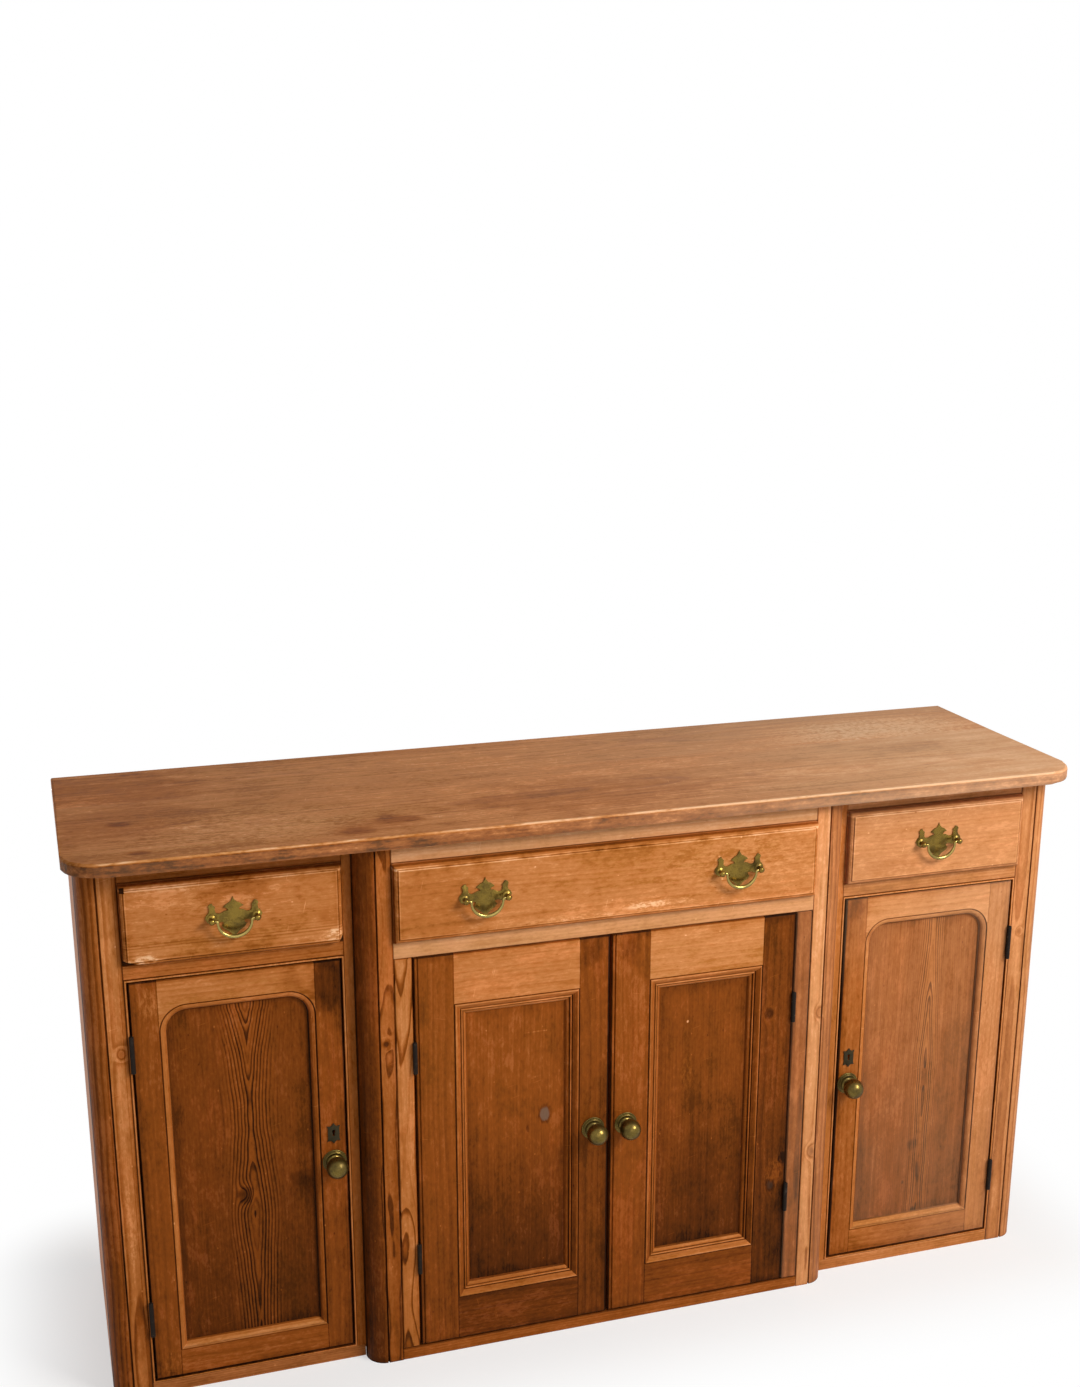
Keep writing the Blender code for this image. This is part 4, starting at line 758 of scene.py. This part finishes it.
doorCentreLeftWood = {
    **centreDoor, "sight": ((-0.2328, 0.1192), (-0.073, 0.59)), "seed": 141.0,
    "stileTone": (0.415, 0.35), "railTone": (0.32, 0.635), "mouldTone": (0.44, 0.36, 0.6, 0.54),
    # painted shadow: a dark band down the meeting edge, in the gap between the centre doors
    "shades": [("Z", 0.6, 0.02, -0.11)], "grooves": [("X", -0.002, 0.0034, -0.4)],
    # painted shade: a dark mark at the top by the meeting edge
    "marks": [(-0.03, 0.67, 0.024, 0.03, -0.1)],
}
doorCentreRightWood = {
    **centreDoor, "sight": ((0.088, 0.1192), (0.2398, 0.59)), "seed": 147.0,
    "stileTone": (0.4, 0.27), "railTone": (0.39, 0.69), "mouldTone": (0.43, 0.36, 0.62, 0.54),
    "shades": [("Z", 0.6, 0.02, -0.09)],
    "knots": [(0.3126, 0.2558, 0.006, 0.0), (0.2911, 0.2063, 0.007, 0.12), (0.2756, 0.524, 0.006, 0.0)],
    # painted shade: the first mark darkens the top by the meeting edge
    "marks": [(0.03, 0.67, 0.024, 0.04, -0.12), (0.3, 0.23, 0.022, 0.03, 0.08)],
}
doorWoods = (doorLeftWood, doorCentreLeftWood, doorCentreRightWood, doorRightWood)
for word, wood in zip(doorWords, doorWoods):
    framedDoor(word, wood)

panelWood = {"grain": "up", "wear": (0.0, 0.001), "dirt": (0.08, 0.028), "frontDepth": 0.003}
panelInside = {"depths": (0.003, 0.006), "dust": 0.1, "tone": 0.06}
panelFront = {word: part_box("door_panel_" + word)[0].y for word in doorWords}
panelLeftWood = {
    "tone": 0.3, "seed": 151.0, "pith": (-0.567, panelFront["left"] - 0.004), "sway": (0.006, 1.5),
    "heave": (0.012, 16.0), "spacing": 0.0043, "late": (0.32, 0.8, 0.92), "contrast": 0.36,
    "figure": (0.016, 0.05, 0.06), "wiggle": 0.0024,
    "climb": [(0.0, 0.84), (0.25, 0.6), (0.39, 0.46), (0.58, 0.8), (0.66, 0.88), (0.735, 0.8),
              (0.855, 0.6), (0.957, 0.2), (1.0, 0.04)], "climbBy": 0.028,
    "shades": [("Z", 0.55, 0.05, -0.1)], "streak": 0.16, "knots": [(-0.58, 0.319, 0.008, 0.0)],
    "marks": [(-0.5, 0.335, 0.016, 0.014, -0.08)],
}
panelRightWood = {
    "tone": 0.465, "seed": 157.0, "pith": (0.597, panelFront["right"] - 0.003), "sway": (0.004, 1.5),
    "heave": (0.01, 14.0), "spacing": 0.0036, "late": (0.3, 0.78, 0.9), "contrast": 0.36,
    "figure": (0.01, 0.028, 0.12), "wiggle": 0.002,
    "climb": [(0.0, 0.1), (0.3, 0.05), (0.52, 0.0), (0.63, 0.3), (0.77, 0.6), (0.87, 0.9), (1.0, 1.0)],
    "climbBy": 0.015, "shades": [("Z", 0.55, 0.05, -0.15)], "streak": 0.2, "grey": 0.09,
    "marks": [(0.5822, 0.2157, 0.012, 0.012, -0.12), (0.5957, 0.163, 0.0045, 0.022, -0.2),
              (0.5924, 0.0835, 0.006, 0.008, -0.22), (0.5681, 0.1426, 0.003, 0.005, -0.22),
              (0.597, 0.345, 0.004, 0.06, -0.14)],
}
panelCentreLeftWood = {
    "tone": 0.4, "seed": 163.0, "pith": (-0.34, -0.1), "sway": (0.03, 1.5), "spacing": 0.0046,
    "contrast": 0.05, "flecks": 0.24, "knots": [(-0.1045, 0.397, 0.0085, 0.75)],
    "shades": [("Z", 0.5, 0.05, -0.28)],
    "marks": [(-0.1337, 0.3754, 0.003, 0.008, -0.14), (-0.117, 0.5422, 0.024, 0.0012, 0.12)],
}
panelCentreRightWood = {
    "tone": 0.34, "seed": 169.0, "pith": (0.0, -0.1), "sway": (0.03, 1.5), "spacing": 0.0046,
    "contrast": 0.05, "drift": 0.22, "shades": [("Z", 0.5, 0.05, -0.17)],
    "marks": [(0.138, 0.434, 0.01, 0.03, 0.08), (0.1378, 0.5242, 0.0022, 0.0026, 0.6),
              (0.17, 0.24, 0.04, 0.16, -0.04)],
}
panelWoods = (panelLeftWood, panelCentreLeftWood, panelCentreRightWood, panelRightWood)
for word, wood in zip(doorWords, panelWoods):
    node = "door_panel_" + word
    wood = dryBehind(node, wood, panelInside["depths"], panelInside["dust"], panelInside["tone"])
    board(node, {**panelWood, **wood})
print("doors dressed")


# metals
def metalNoise(point, scales, seed):
    # a slow drift and a fine mottle
    slow, fine = ((scale, scale, scale) for scale in scales)
    return point.noise(slow, seed, 3.0, 0.6), point.noise(fine, seed + 5.0, 3.0, 0.65)


def agedBrass(name, brass):
    # olive patina over yellow brass: patina = drift + mottle, worn through where the metal is handled
    material, shader, point = newMaterial(name, {"Specular IOR Level": 0.3})
    seed = brass["seed"]
    drift, mottle = metalNoise(point, (60.0, 420.0), seed)
    pit, _ = point.cells((900.0, 900.0, 900.0), seed + 8.0)
    patina = (drift * 1.5 + mottle * 0.8 + 0.55 - brass["polish"]).rise(0.1, 0.8)
    feed(shader, "Base Color", patina.blend(brass["bright"], brass["dark"]))
    feed(shader, "Roughness", patina * 0.16 + mottle * 0.14 + brass["rough"])
    feed(shader, "Metallic", 0.95 - patina * 0.3)
    raised(mottle * 0.6 - pit.fall(0.1, 0.3) * 0.3, shader, 0.12, 0.0003)
    return material


def darkIron(name, seed):
    # oxidised iron: brown-black scale with rubbed grey spots
    material, shader, point = newMaterial(name, {"Metallic": 0.6, "Specular IOR Level": 0.2})
    drift, mottle = metalNoise(point, (90.0, 700.0), seed)
    rubbed = (drift + mottle * 0.7).rise(0.05, 0.4)
    feed(shader, "Base Color", rubbed.blend(ironScale, ironRubbed))
    feed(shader, "Roughness", 0.62 - rubbed * 0.22 + mottle * 0.2)
    raised(mottle + drift * 0.5, shader, 0.25, 0.0004)
    return material


ironScale, ironRubbed = (0.016, 0.011, 0.008, 1.0), (0.07, 0.054, 0.04, 1.0)
pullFinish = {
    "polish": 0.16, "seed": 3.0, "rough": 0.22,
    "bright": (0.25, 0.16, 0.03, 1.0), "dark": (0.086, 0.055, 0.01, 1.0),
}
bailFinish = {
    "polish": 0.45, "seed": 11.0, "rough": 0.18,
    "bright": (0.34, 0.255, 0.075, 1.0), "dark": (0.11, 0.084, 0.016, 1.0),
}
knobFinish = {
    "polish": 0.1, "seed": 17.0, "rough": 0.24,
    "bright": (0.17, 0.115, 0.027, 1.0), "dark": (0.07, 0.047, 0.01, 1.0),
}
plateFinish = {
    "polish": -0.3, "seed": 29.0, "rough": 0.3,
    "bright": (0.11, 0.078, 0.026, 1.0), "dark": (0.034, 0.025, 0.01, 1.0),
}
pullBrass = agedBrass("aged brass plates", pullFinish)
bailBrass = agedBrass("rubbed brass bails", bailFinish)
knobBrass = agedBrass("aged brass knobs", knobFinish)
plateBrass = agedBrass("dull brass escutcheons", plateFinish)
hingeIron = darkIron("dark iron", 5.0)
hinges = [f"hinge_{word}_{level}" for word in doorWords for level in ("upper", "lower")]
dress([f"pull_plate_{word}" for word in doorWords] + [f"pull_bail_{word}" for word in doorWords], pullBrass)
dress([f"knob_{word}" for word in doorWords], knobBrass)
dress(["escutcheon_left", "escutcheon_right"], plateBrass)
dress(hinges + ["lock_bolt_left", "lock_bolt_right"], hingeIron)


# fittings, worked out as grids of points that are closed round their columns
def gridFaces(rows, columns, ringed=False):
    # quads between neighbouring points; a ringed grid closes round its rows too
    row, column = np.meshgrid(np.arange(rows if ringed else rows - 1), np.arange(columns), indexing="ij")
    after, above = (column + 1) % columns, (row + 1) % rows
    corners = ((row, column), (row, after), (above, after), (above, column))
    return np.stack([y * columns + x for y, x in corners], axis=-1).reshape(-1, 4)


def placed(name, mesh, place):
    # an object of this mesh, which rides one body
    mesh.polygons.foreach_set("use_smooth", np.full(len(mesh.polygons), place.get("smooth", True)))
    mesh.materials.clear()
    mesh.materials.append(place["material"])
    made = bpy.data.objects.new(name, mesh)
    bpy.context.scene.collection.objects.link(made)
    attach(made, place["body"])
    if "replaces" in place:
        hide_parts(place["replaces"])
    return made


def fitting(name, grid, place, ringed=False):
    # a grid of points made a closed mesh, then placed
    mesh = bpy.data.meshes.new(name)
    mesh.from_pydata(grid.reshape(-1, 3).tolist(), [], gridFaces(*grid.shape[:2], ringed).tolist())
    shape = bmesh.new()
    shape.from_mesh(mesh)
    bmesh.ops.remove_doubles(shape, verts=shape.verts, dist=1e-7)
    bmesh.ops.recalc_face_normals(shape, faces=shape.faces)
    shape.to_mesh(mesh)
    shape.free()
    placed(name, mesh, place)


def bow(centre, radius, start, end, steps):
    # points on a circle about centre, from one angle to another, in degrees
    turn = np.radians(np.linspace(start, end, steps))
    return np.stack((centre[0] + radius * np.cos(turn), centre[1] + radius * np.sin(turn)), axis=-1)


def turned(profile, around):
    # a profile of (reach, radius) turned about Y: x = radius cos turn, y = -reach, z = radius sin turn
    reach, radius = profile[:, :1], profile[:, 1:]
    turn = np.linspace(0.0, math.tau, around, endpoint=False)
    depth = np.repeat(-reach, around, axis=1)
    return np.stack((radius * np.cos(turn), depth, radius * np.sin(turn)), axis=-1)


knob = {
    "rose": 0.019, "rimBead": 0.0012, "ring": 0.0142, "ringBead": 0.0015, "ringAt": 0.0026,
    "neck": 0.0075, "cove": 0.0052, "ball": 0.017, "reach": 0.041, "around": 72,
}


def knobProfile():
    # a rimmed rose with a second ring inside it, a hollow neck and a ball
    rim, ring, centre = knob["rose"] - knob["rimBead"], knob["ring"], knob["reach"] - knob["ball"]
    join = 180.0 - math.degrees(math.asin(knob["neck"] / knob["ball"]))
    coveAt = centre + knob["ball"] * math.cos(math.radians(join)), knob["neck"] + knob["cove"]
    return np.concatenate((
        [(0.0, 0.0)],
        bow((knob["rimBead"], rim), knob["rimBead"], 180.0, -30.0, 12),
        bow((knob["ringAt"], ring), knob["ringBead"], 130.0, -40.0, 10),
        bow(coveAt, knob["cove"], 180.0, 270.0, 8),
        bow((centre, 0.0), knob["ball"], join, 0.0, 40),
    ))


for word in doorWords:
    low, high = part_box("knob_" + word)
    middle = ((low.x + high.x) / 2, high.y, (low.z + high.z) / 2)
    fitting("turned_knob_" + word, turned(knobProfile(), knob["around"]) + middle, {
        "body": "door_" + word, "slot": "brass", "material": knobBrass, "replaces": "knob_" + word,
    })

bail = {
    "pinEnd": 0.0382, "shoulder": 0.0277, "half": 0.0247, "bend": 0.003, "drop": 0.026, "pin": 0.0014,
    "straight": 0.001, "knuckle": 0.0023, "knuckleSpan": 0.0022, "bow": 0.003, "around": 20,
}


def bailTube():
    # a circle carried along pin, bend and bow; its radius swells from the pin to the bow's middle
    bend = bow((bail["shoulder"], -bail["bend"]), bail["bend"], 90.0, 180.0, 8)
    turn = np.linspace(0.0, math.pi / 2, 24)[1:]
    fall = bail["bend"] + (bail["drop"] - bail["bend"]) * np.sin(turn)
    sweep = np.stack((bail["half"] * np.cos(turn), -fall), axis=-1)
    start, stop = (bail["pinEnd"], 0.0), (bail["shoulder"] + bail["straight"], 0.0)
    pins = np.array([start, start, stop])
    half = np.concatenate((pins, bend, sweep))
    share = np.clip(-half[:, 1] / bail["drop"], 0.0, 1.0)
    swell = bail["pin"] + (bail["bow"] - bail["pin"]) * share ** 0.8
    fromKnuckle = (half[:, 1] + bail["bend"] * 0.6) / bail["knuckleSpan"]
    swell += (bail["knuckle"] - bail["pin"]) * np.exp(-fromKnuckle ** 2)
    swell[:3] = 0.0, bail["pin"], bail["pin"]
    path = np.concatenate((half, half[-2::-1] * (-1.0, 1.0)))
    radius = np.concatenate((swell, swell[-2::-1]))[:, None]
    ahead = np.gradient(path, axis=0)
    ahead[[0, -1]] = ahead[[1, -2]]  # the pins' flat ends
    ahead /= np.linalg.norm(ahead, axis=1, keepdims=True)
    turn = np.linspace(0.0, math.tau, bail["around"], endpoint=False)
    x = path[:, :1] - ahead[:, 1:] * radius * np.cos(turn)
    z = path[:, 1:] + ahead[:, :1] * radius * np.cos(turn)
    return np.stack((x, radius * np.sin(turn), z), axis=-1)


for word in doorWords:
    low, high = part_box("pull_bail_" + word)
    pivot = ((low.x + high.x) / 2, (low.y + high.y) / 2, low.z + bail["drop"] + bail["bow"])
    fitting("smooth_bail_" + word, bailTube() + pivot, {
        "body": "bail_" + word, "slot": "brass", "material": bailBrass, "replaces": "pull_bail_" + word,
    })


def eased(node, body, material, width):
    # a merged copy of a CAD node with its sharp edges eased by a narrow bevel
    mesh = nodes[node].data.copy()
    shape = bmesh.new()
    shape.from_mesh(mesh)
    bmesh.ops.remove_doubles(shape, verts=shape.verts, dist=1e-6)
    bmesh.ops.dissolve_limit(shape, angle_limit=0.01, verts=shape.verts, edges=shape.edges)
    shape.to_mesh(mesh)
    shape.free()
    made = placed("eased_" + node, mesh, {
        "body": body, "slot": "brass", "material": material, "replaces": node,
    })
    soften = made.modifiers.new("eased edges", "BEVEL")
    soften.width, soften.segments = width, 2
    soften.limit_method, soften.angle_limit = "ANGLE", math.radians(easing["angle"])
    soften.harden_normals = True


easing = {"pull": 0.00035, "escutcheon": 0.0003, "angle": 38.0}
pullBodies = {
    "left": "drawer_left", "centre_left": "drawer_centre", "centre_right": "drawer_centre",
    "right": "drawer_right",
}
for word, body in pullBodies.items():
    eased("pull_plate_" + word, body, pullBrass, easing["pull"])
for word in ("left", "right"):
    eased("escutcheon_" + word, "door_" + word, plateBrass, easing["escutcheon"])

knuckles = {
    "count": 5, "radius": 0.0036, "groove": 0.00025, "grooveWidth": 0.0005, "tip": 0.0012, "barrel": 0.0034,
    "around": 24,
}
leaf = {
    "thick": 0.0003, "depth": 0.0155, "corner": 0.0025, "frame": 0.0011, "screws": (0.24, 0.76),
    "screwDepth": 0.55,
}
screw = {"radius": 0.003, "slot": 0.14, "dome": 0.00007, "rim": 0.00006, "cut": 0.00012, "sink": 0.0003}


def knuckleProfile(length):
    # a pin's domed tips with knuckles between them, parted by shallow grooves
    rim, tip, half = knuckles["radius"], knuckles["tip"], knuckles["grooveWidth"] / 2
    groove = rim - knuckles["groove"]
    profile = [(-tip, 0.0), (-tip, rim * 0.55), (-tip * 0.3, rim * 0.9), (0.0, rim)]
    for level in np.arange(1, knuckles["count"]) * length / knuckles["count"]:
        profile += [(level - half, rim), (level - half / 2, groove)]
        profile += [(level + half / 2, groove), (level + half, rim)]
    profile += [(length, rim), (length + tip * 0.3, rim * 0.9)]
    return np.array(profile + [(length + tip, rim * 0.55), (length + tip, 0.0)])


def leafPlate(depth, height):
    # slices level with the floor: a thin rectangle, drawn in at the back by a round corner at both ends
    corner = leaf["corner"]
    level = np.concatenate((np.linspace(0.0, corner, 7), height - np.linspace(corner, 0.0, 7)))
    short = corner - np.minimum(np.minimum(level, height - level), corner)
    back = depth - corner + np.sqrt(corner ** 2 - short ** 2)
    inner, outer, front = np.zeros_like(level), np.full_like(level, leaf["thick"]), np.zeros_like(level)
    loop = ((inner, front), (outer, front), (outer, back), (inner, back))
    slices = np.stack([np.stack((x, y, level), axis=-1) for x, y in loop], axis=1)
    ends = slices.mean(axis=1, keepdims=True) * np.ones((1, 4, 1))
    return np.concatenate((ends[:1], slices, ends[-1:]))


def screwHead(turn):
    # slices across a slotted head: each is an arch on a flat base, and the slices inside the slot are lower
    slot = screw["slot"]
    rounds, sides = np.cos(np.linspace(0.0, math.pi, 17)), (-slot, -slot * 0.8, slot * 0.8, slot)
    u = np.sort(np.concatenate((rounds, sides)))
    across, along = np.meshgrid(u, np.linspace(-1.0, 1.0, 9), indexing="ij")
    along *= np.sqrt(1.0 - across ** 2)
    rise = screw["rim"] + screw["dome"] * (1.0 - across ** 2 - along ** 2)
    rise = np.where(np.abs(across) < slot * 0.9, rise - screw["cut"], rise)
    y = (across * math.cos(turn) - along * math.sin(turn)) * screw["radius"]
    z = (across * math.sin(turn) + along * math.cos(turn)) * screw["radius"]
    top = np.stack((rise, y, z), axis=-1)
    base = np.stack((np.full_like(y[:, :2], -screw["sink"]), y[:, [-1, 0]], z[:, [-1, 0]]), axis=-1)
    return np.concatenate((top, base), axis=1)


ironOn = {"slot": "iron", "material": hingeIron, "smooth": False}
for word in doorWords:
    doorLow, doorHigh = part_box("door_frame_" + word)
    body, side = "door_" + word, 1 if "right" in word else -1
    hungEdge = doorHigh.x if side > 0 else doorLow.x
    for level in ("upper", "lower"):
        low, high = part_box(f"hinge_{word}_{level}")
        height = high.z - low.z
        axis = (low.x + high.x) / 2, low.y + knuckles["barrel"]
        upright = turned(knuckleProfile(height), knuckles["around"])
        upright = np.stack((upright[..., 0], upright[..., 2], -upright[..., 1]), axis=-1)
        fitting(f"hinge_knuckles_{word}_{level}", upright + (*axis, low.z), {"body": "carcass", **ironOn})
        plate = leafPlate(leaf["depth"], height) * (side, 1.0, 1.0) + (hungEdge, doorLow.y, low.z)
        fitting(f"hinge_leaf_{word}_{level}", plate, {"body": body, **ironOn})
        frameEdge = 2 * axis[0] - hungEdge - side * leaf["frame"]
        for count, share in enumerate(leaf["screws"]):
            heart = doorLow.y + leaf["depth"] * leaf["screwDepth"], low.z + height * share
            head = screwHead(0.6 + 1.1 * count + height * share * 40.0)  # no two slots lie alike
            onLeaf = head * (side, 1.0, 1.0) + (hungEdge + side * leaf["thick"], *heart)
            onFrame = head * (-side, 1.0, 1.0) + (frameEdge, *heart)
            fitting(f"leaf_screw_{word}_{level}_{count}", onLeaf, {"body": body, **ironOn})
            fitting(f"frame_screw_{word}_{level}_{count}", onFrame, {"body": "carcass", **ironOn})

lockPlate = {
    "high": 0.062, "wide": 0.011, "thick": 0.0004, "clear": 0.0004, "square": 0.16, "around": 48,
    "screws": (-0.0215, 0.0215),
}


def platePath(halfY, halfZ):
    # a rounded rectangle: each half width times a power of cosine or sine
    turn = np.linspace(0.0, math.tau, lockPlate["around"], endpoint=False) + math.pi / lockPlate["around"]
    y, z = np.cos(turn), np.sin(turn)
    power = lockPlate["square"]
    y, z = (np.sign(value) * np.abs(value) ** power for value in (y, z))
    return np.stack((halfY * y, halfZ * z), axis=-1)


brassOn = {"slot": "brass", "material": plateBrass, "smooth": False}
for word, side in (("left", 1), ("right", -1)):
    low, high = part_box("lock_bolt_" + word)
    doorLow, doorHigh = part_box("door_frame_" + word)
    freeEdge = doorHigh.x if side > 0 else doorLow.x
    heart = (low.y + high.y) / 2, (low.z + high.z) / 2
    hole = platePath((high.y - low.y) / 2 + lockPlate["clear"], (high.z - low.z) / 2 + lockPlate["clear"])
    rim = platePath(lockPlate["wide"] / 2, lockPlate["high"] / 2)
    loop = ((0.0, hole), (lockPlate["thick"], hole), (lockPlate["thick"], rim), (0.0, rim))
    ring = np.stack([np.insert(path, 0, x * side, axis=1) for x, path in loop], axis=1)
    fitting("lock_plate_" + word, ring + (freeEdge, *heart), {"body": "door_" + word, **brassOn}, True)
    for count, up in enumerate(lockPlate["screws"]):
        head = screwHead(0.5 + 1.7 * count) * (side, 1.0, 1.0)
        place = freeEdge + side * lockPlate["thick"], heart[0], heart[1] + up
        fitting(f"lock_screw_{word}_{count}", head + place, {"body": "door_" + word, **brassOn})
print("metals dressed and fittings made")

# stage: floor, light and camera
stage = {
    "floor": 9.0, "paler": (0.91, 0.91, 0.91, 1.0), "darker": (0.88, 0.88, 0.88, 1.0), "middle": (0.8, 0.22),
    "shadow": (0.0, 0.24), "shadowTint": 0.55, "ambient": 0.17, "slope": 0.06,
}
white = (1.0, 1.0, 1.0, 1.0)


def backgroundRays(wire):
    # rays that see the white background: from the camera, off gloss and through glass
    path = wire.node("ShaderNodeLightPath", {}, out="Is Camera Ray").socket.node
    glossy, through = Wire(path.outputs["Is Glossy Ray"]), Wire(path.outputs["Is Transmission Ray"])
    return Wire(path.outputs["Is Camera Ray"]).most(glossy).most(through)


floorMesh = bpy.data.meshes.new("floor")
size = stage["floor"]
corners = [(-size, -size, 0), (size, -size, 0), (size, size, 0), (-size, size, 0)]
floorMesh.from_pydata(corners, [], [(0, 1, 2, 3)])
floor = bpy.data.objects.new("floor", floorMesh)
bpy.context.scene.collection.objects.link(floor)
floorLook = {"Roughness": 0.85, "Specular IOR Level": 0.1}
floorMaterial, floorShader, floorPoint = newMaterial("pale floor", floorLook)
floorTone = floorPoint.noise((3.0, 3.0, 3.0), 1.0).rise(-0.5, 0.5)
feed(floorShader, "Base Color", floorTone.blend(stage["darker"], stage["paler"]))
# away from the object the floor is seen as white paper
awayX, awayY = (abs(floorPoint.part(axis)) - half for axis, half in zip("XY", stage["middle"]))
awayX, awayY = awayX.most(0.0), awayY.most(0.0)
floorAway = (awayX * awayX + awayY * awayY).root().rise(*stage["shadow"]).pick(stage["shadowTint"], 1.0)
paper = floorPoint.node("ShaderNodeEmission", {"Color": white, "Strength": 1.0})
paperShare = floorAway * backgroundRays(floorPoint)
floorSides = {0: paperShare, 1: Wire(floorShader.outputs[0]), 2: paper}
floorMix = floorPoint.node("ShaderNodeMixShader", floorSides)
floorEnd = floorMaterial.node_tree.nodes["Material Output"]
floorMaterial.node_tree.links.new(floorMix.socket, floorEnd.inputs["Surface"])
floorMesh.materials.append(floorMaterial)

world = bpy.data.worlds.new("studio")
bpy.context.scene.world = world
world.use_nodes = True
back = world.node_tree.nodes["Background"]
back.inputs["Color"].default_value = white
direction = Wire(world.node_tree.nodes.new("ShaderNodeTexCoord").outputs["Generated"])
ambient = direction.part("X") * stage["slope"] + stage["ambient"]
strength = backgroundRays(direction).pick(ambient, 1.0)
world.node_tree.links.new(strength.socket, back.inputs["Strength"])


def lamp(name, place, target, size, power, colour):
    # a square lamp that faces its target
    data = bpy.data.lights.new(name, "AREA")
    data.size = size
    data.energy = power
    data.color = colour
    made = bpy.data.objects.new(name, data)
    made.location = place
    made.rotation_euler = (Vector(target) - Vector(place)).to_track_quat("-Z", "Y").to_euler()
    made.visible_camera = False
    bpy.context.scene.collection.objects.link(made)


warmLight, plainLight = (1.0, 0.97, 0.93), (1.0, 0.98, 0.96)
lamp("key", (1.8, -2.3, 2.6), (0.25, -0.1, 0.5), 1.3, 112.0, warmLight)
lamp("front", (-0.3, -3.6, 1.9), (-0.1, -0.1, 0.5), 2.2, 16.0, plainLight)
# two low fills for the sides that the front lamps miss; they stay under the worktop's level
lamp("rear", (-0.6, 3.2, 0.4), (0.0, 0.2, 0.45), 0.9, 55.0, plainLight)
lamp("left end", (-3.0, 1.3, 0.4), (-0.8, 0.1, 0.45), 0.9, 17.0, plainLight)

shot = {
    "sensor": 36.0, "lens": 55.858, "shift": (-0.0019, 0.068), "place": (-0.8321, -2.5054, 1.6746),
    "down": 16.131, "turn": -17.372,
}
camera = bpy.data.cameras.new("camera")
camera.sensor_fit = "HORIZONTAL"
camera.sensor_width = shot["sensor"]
camera.lens = shot["lens"]
camera.shift_x, camera.shift_y = shot["shift"]
viewer = bpy.data.objects.new("camera", camera)
viewer.location = shot["place"]
viewer.rotation_euler = math.radians(90.0 - shot["down"]), 0.0, math.radians(shot["turn"])
bpy.context.scene.collection.objects.link(viewer)
bpy.context.scene.camera = viewer
bpy.context.scene.view_settings.view_transform = "Standard"

print("stage set")
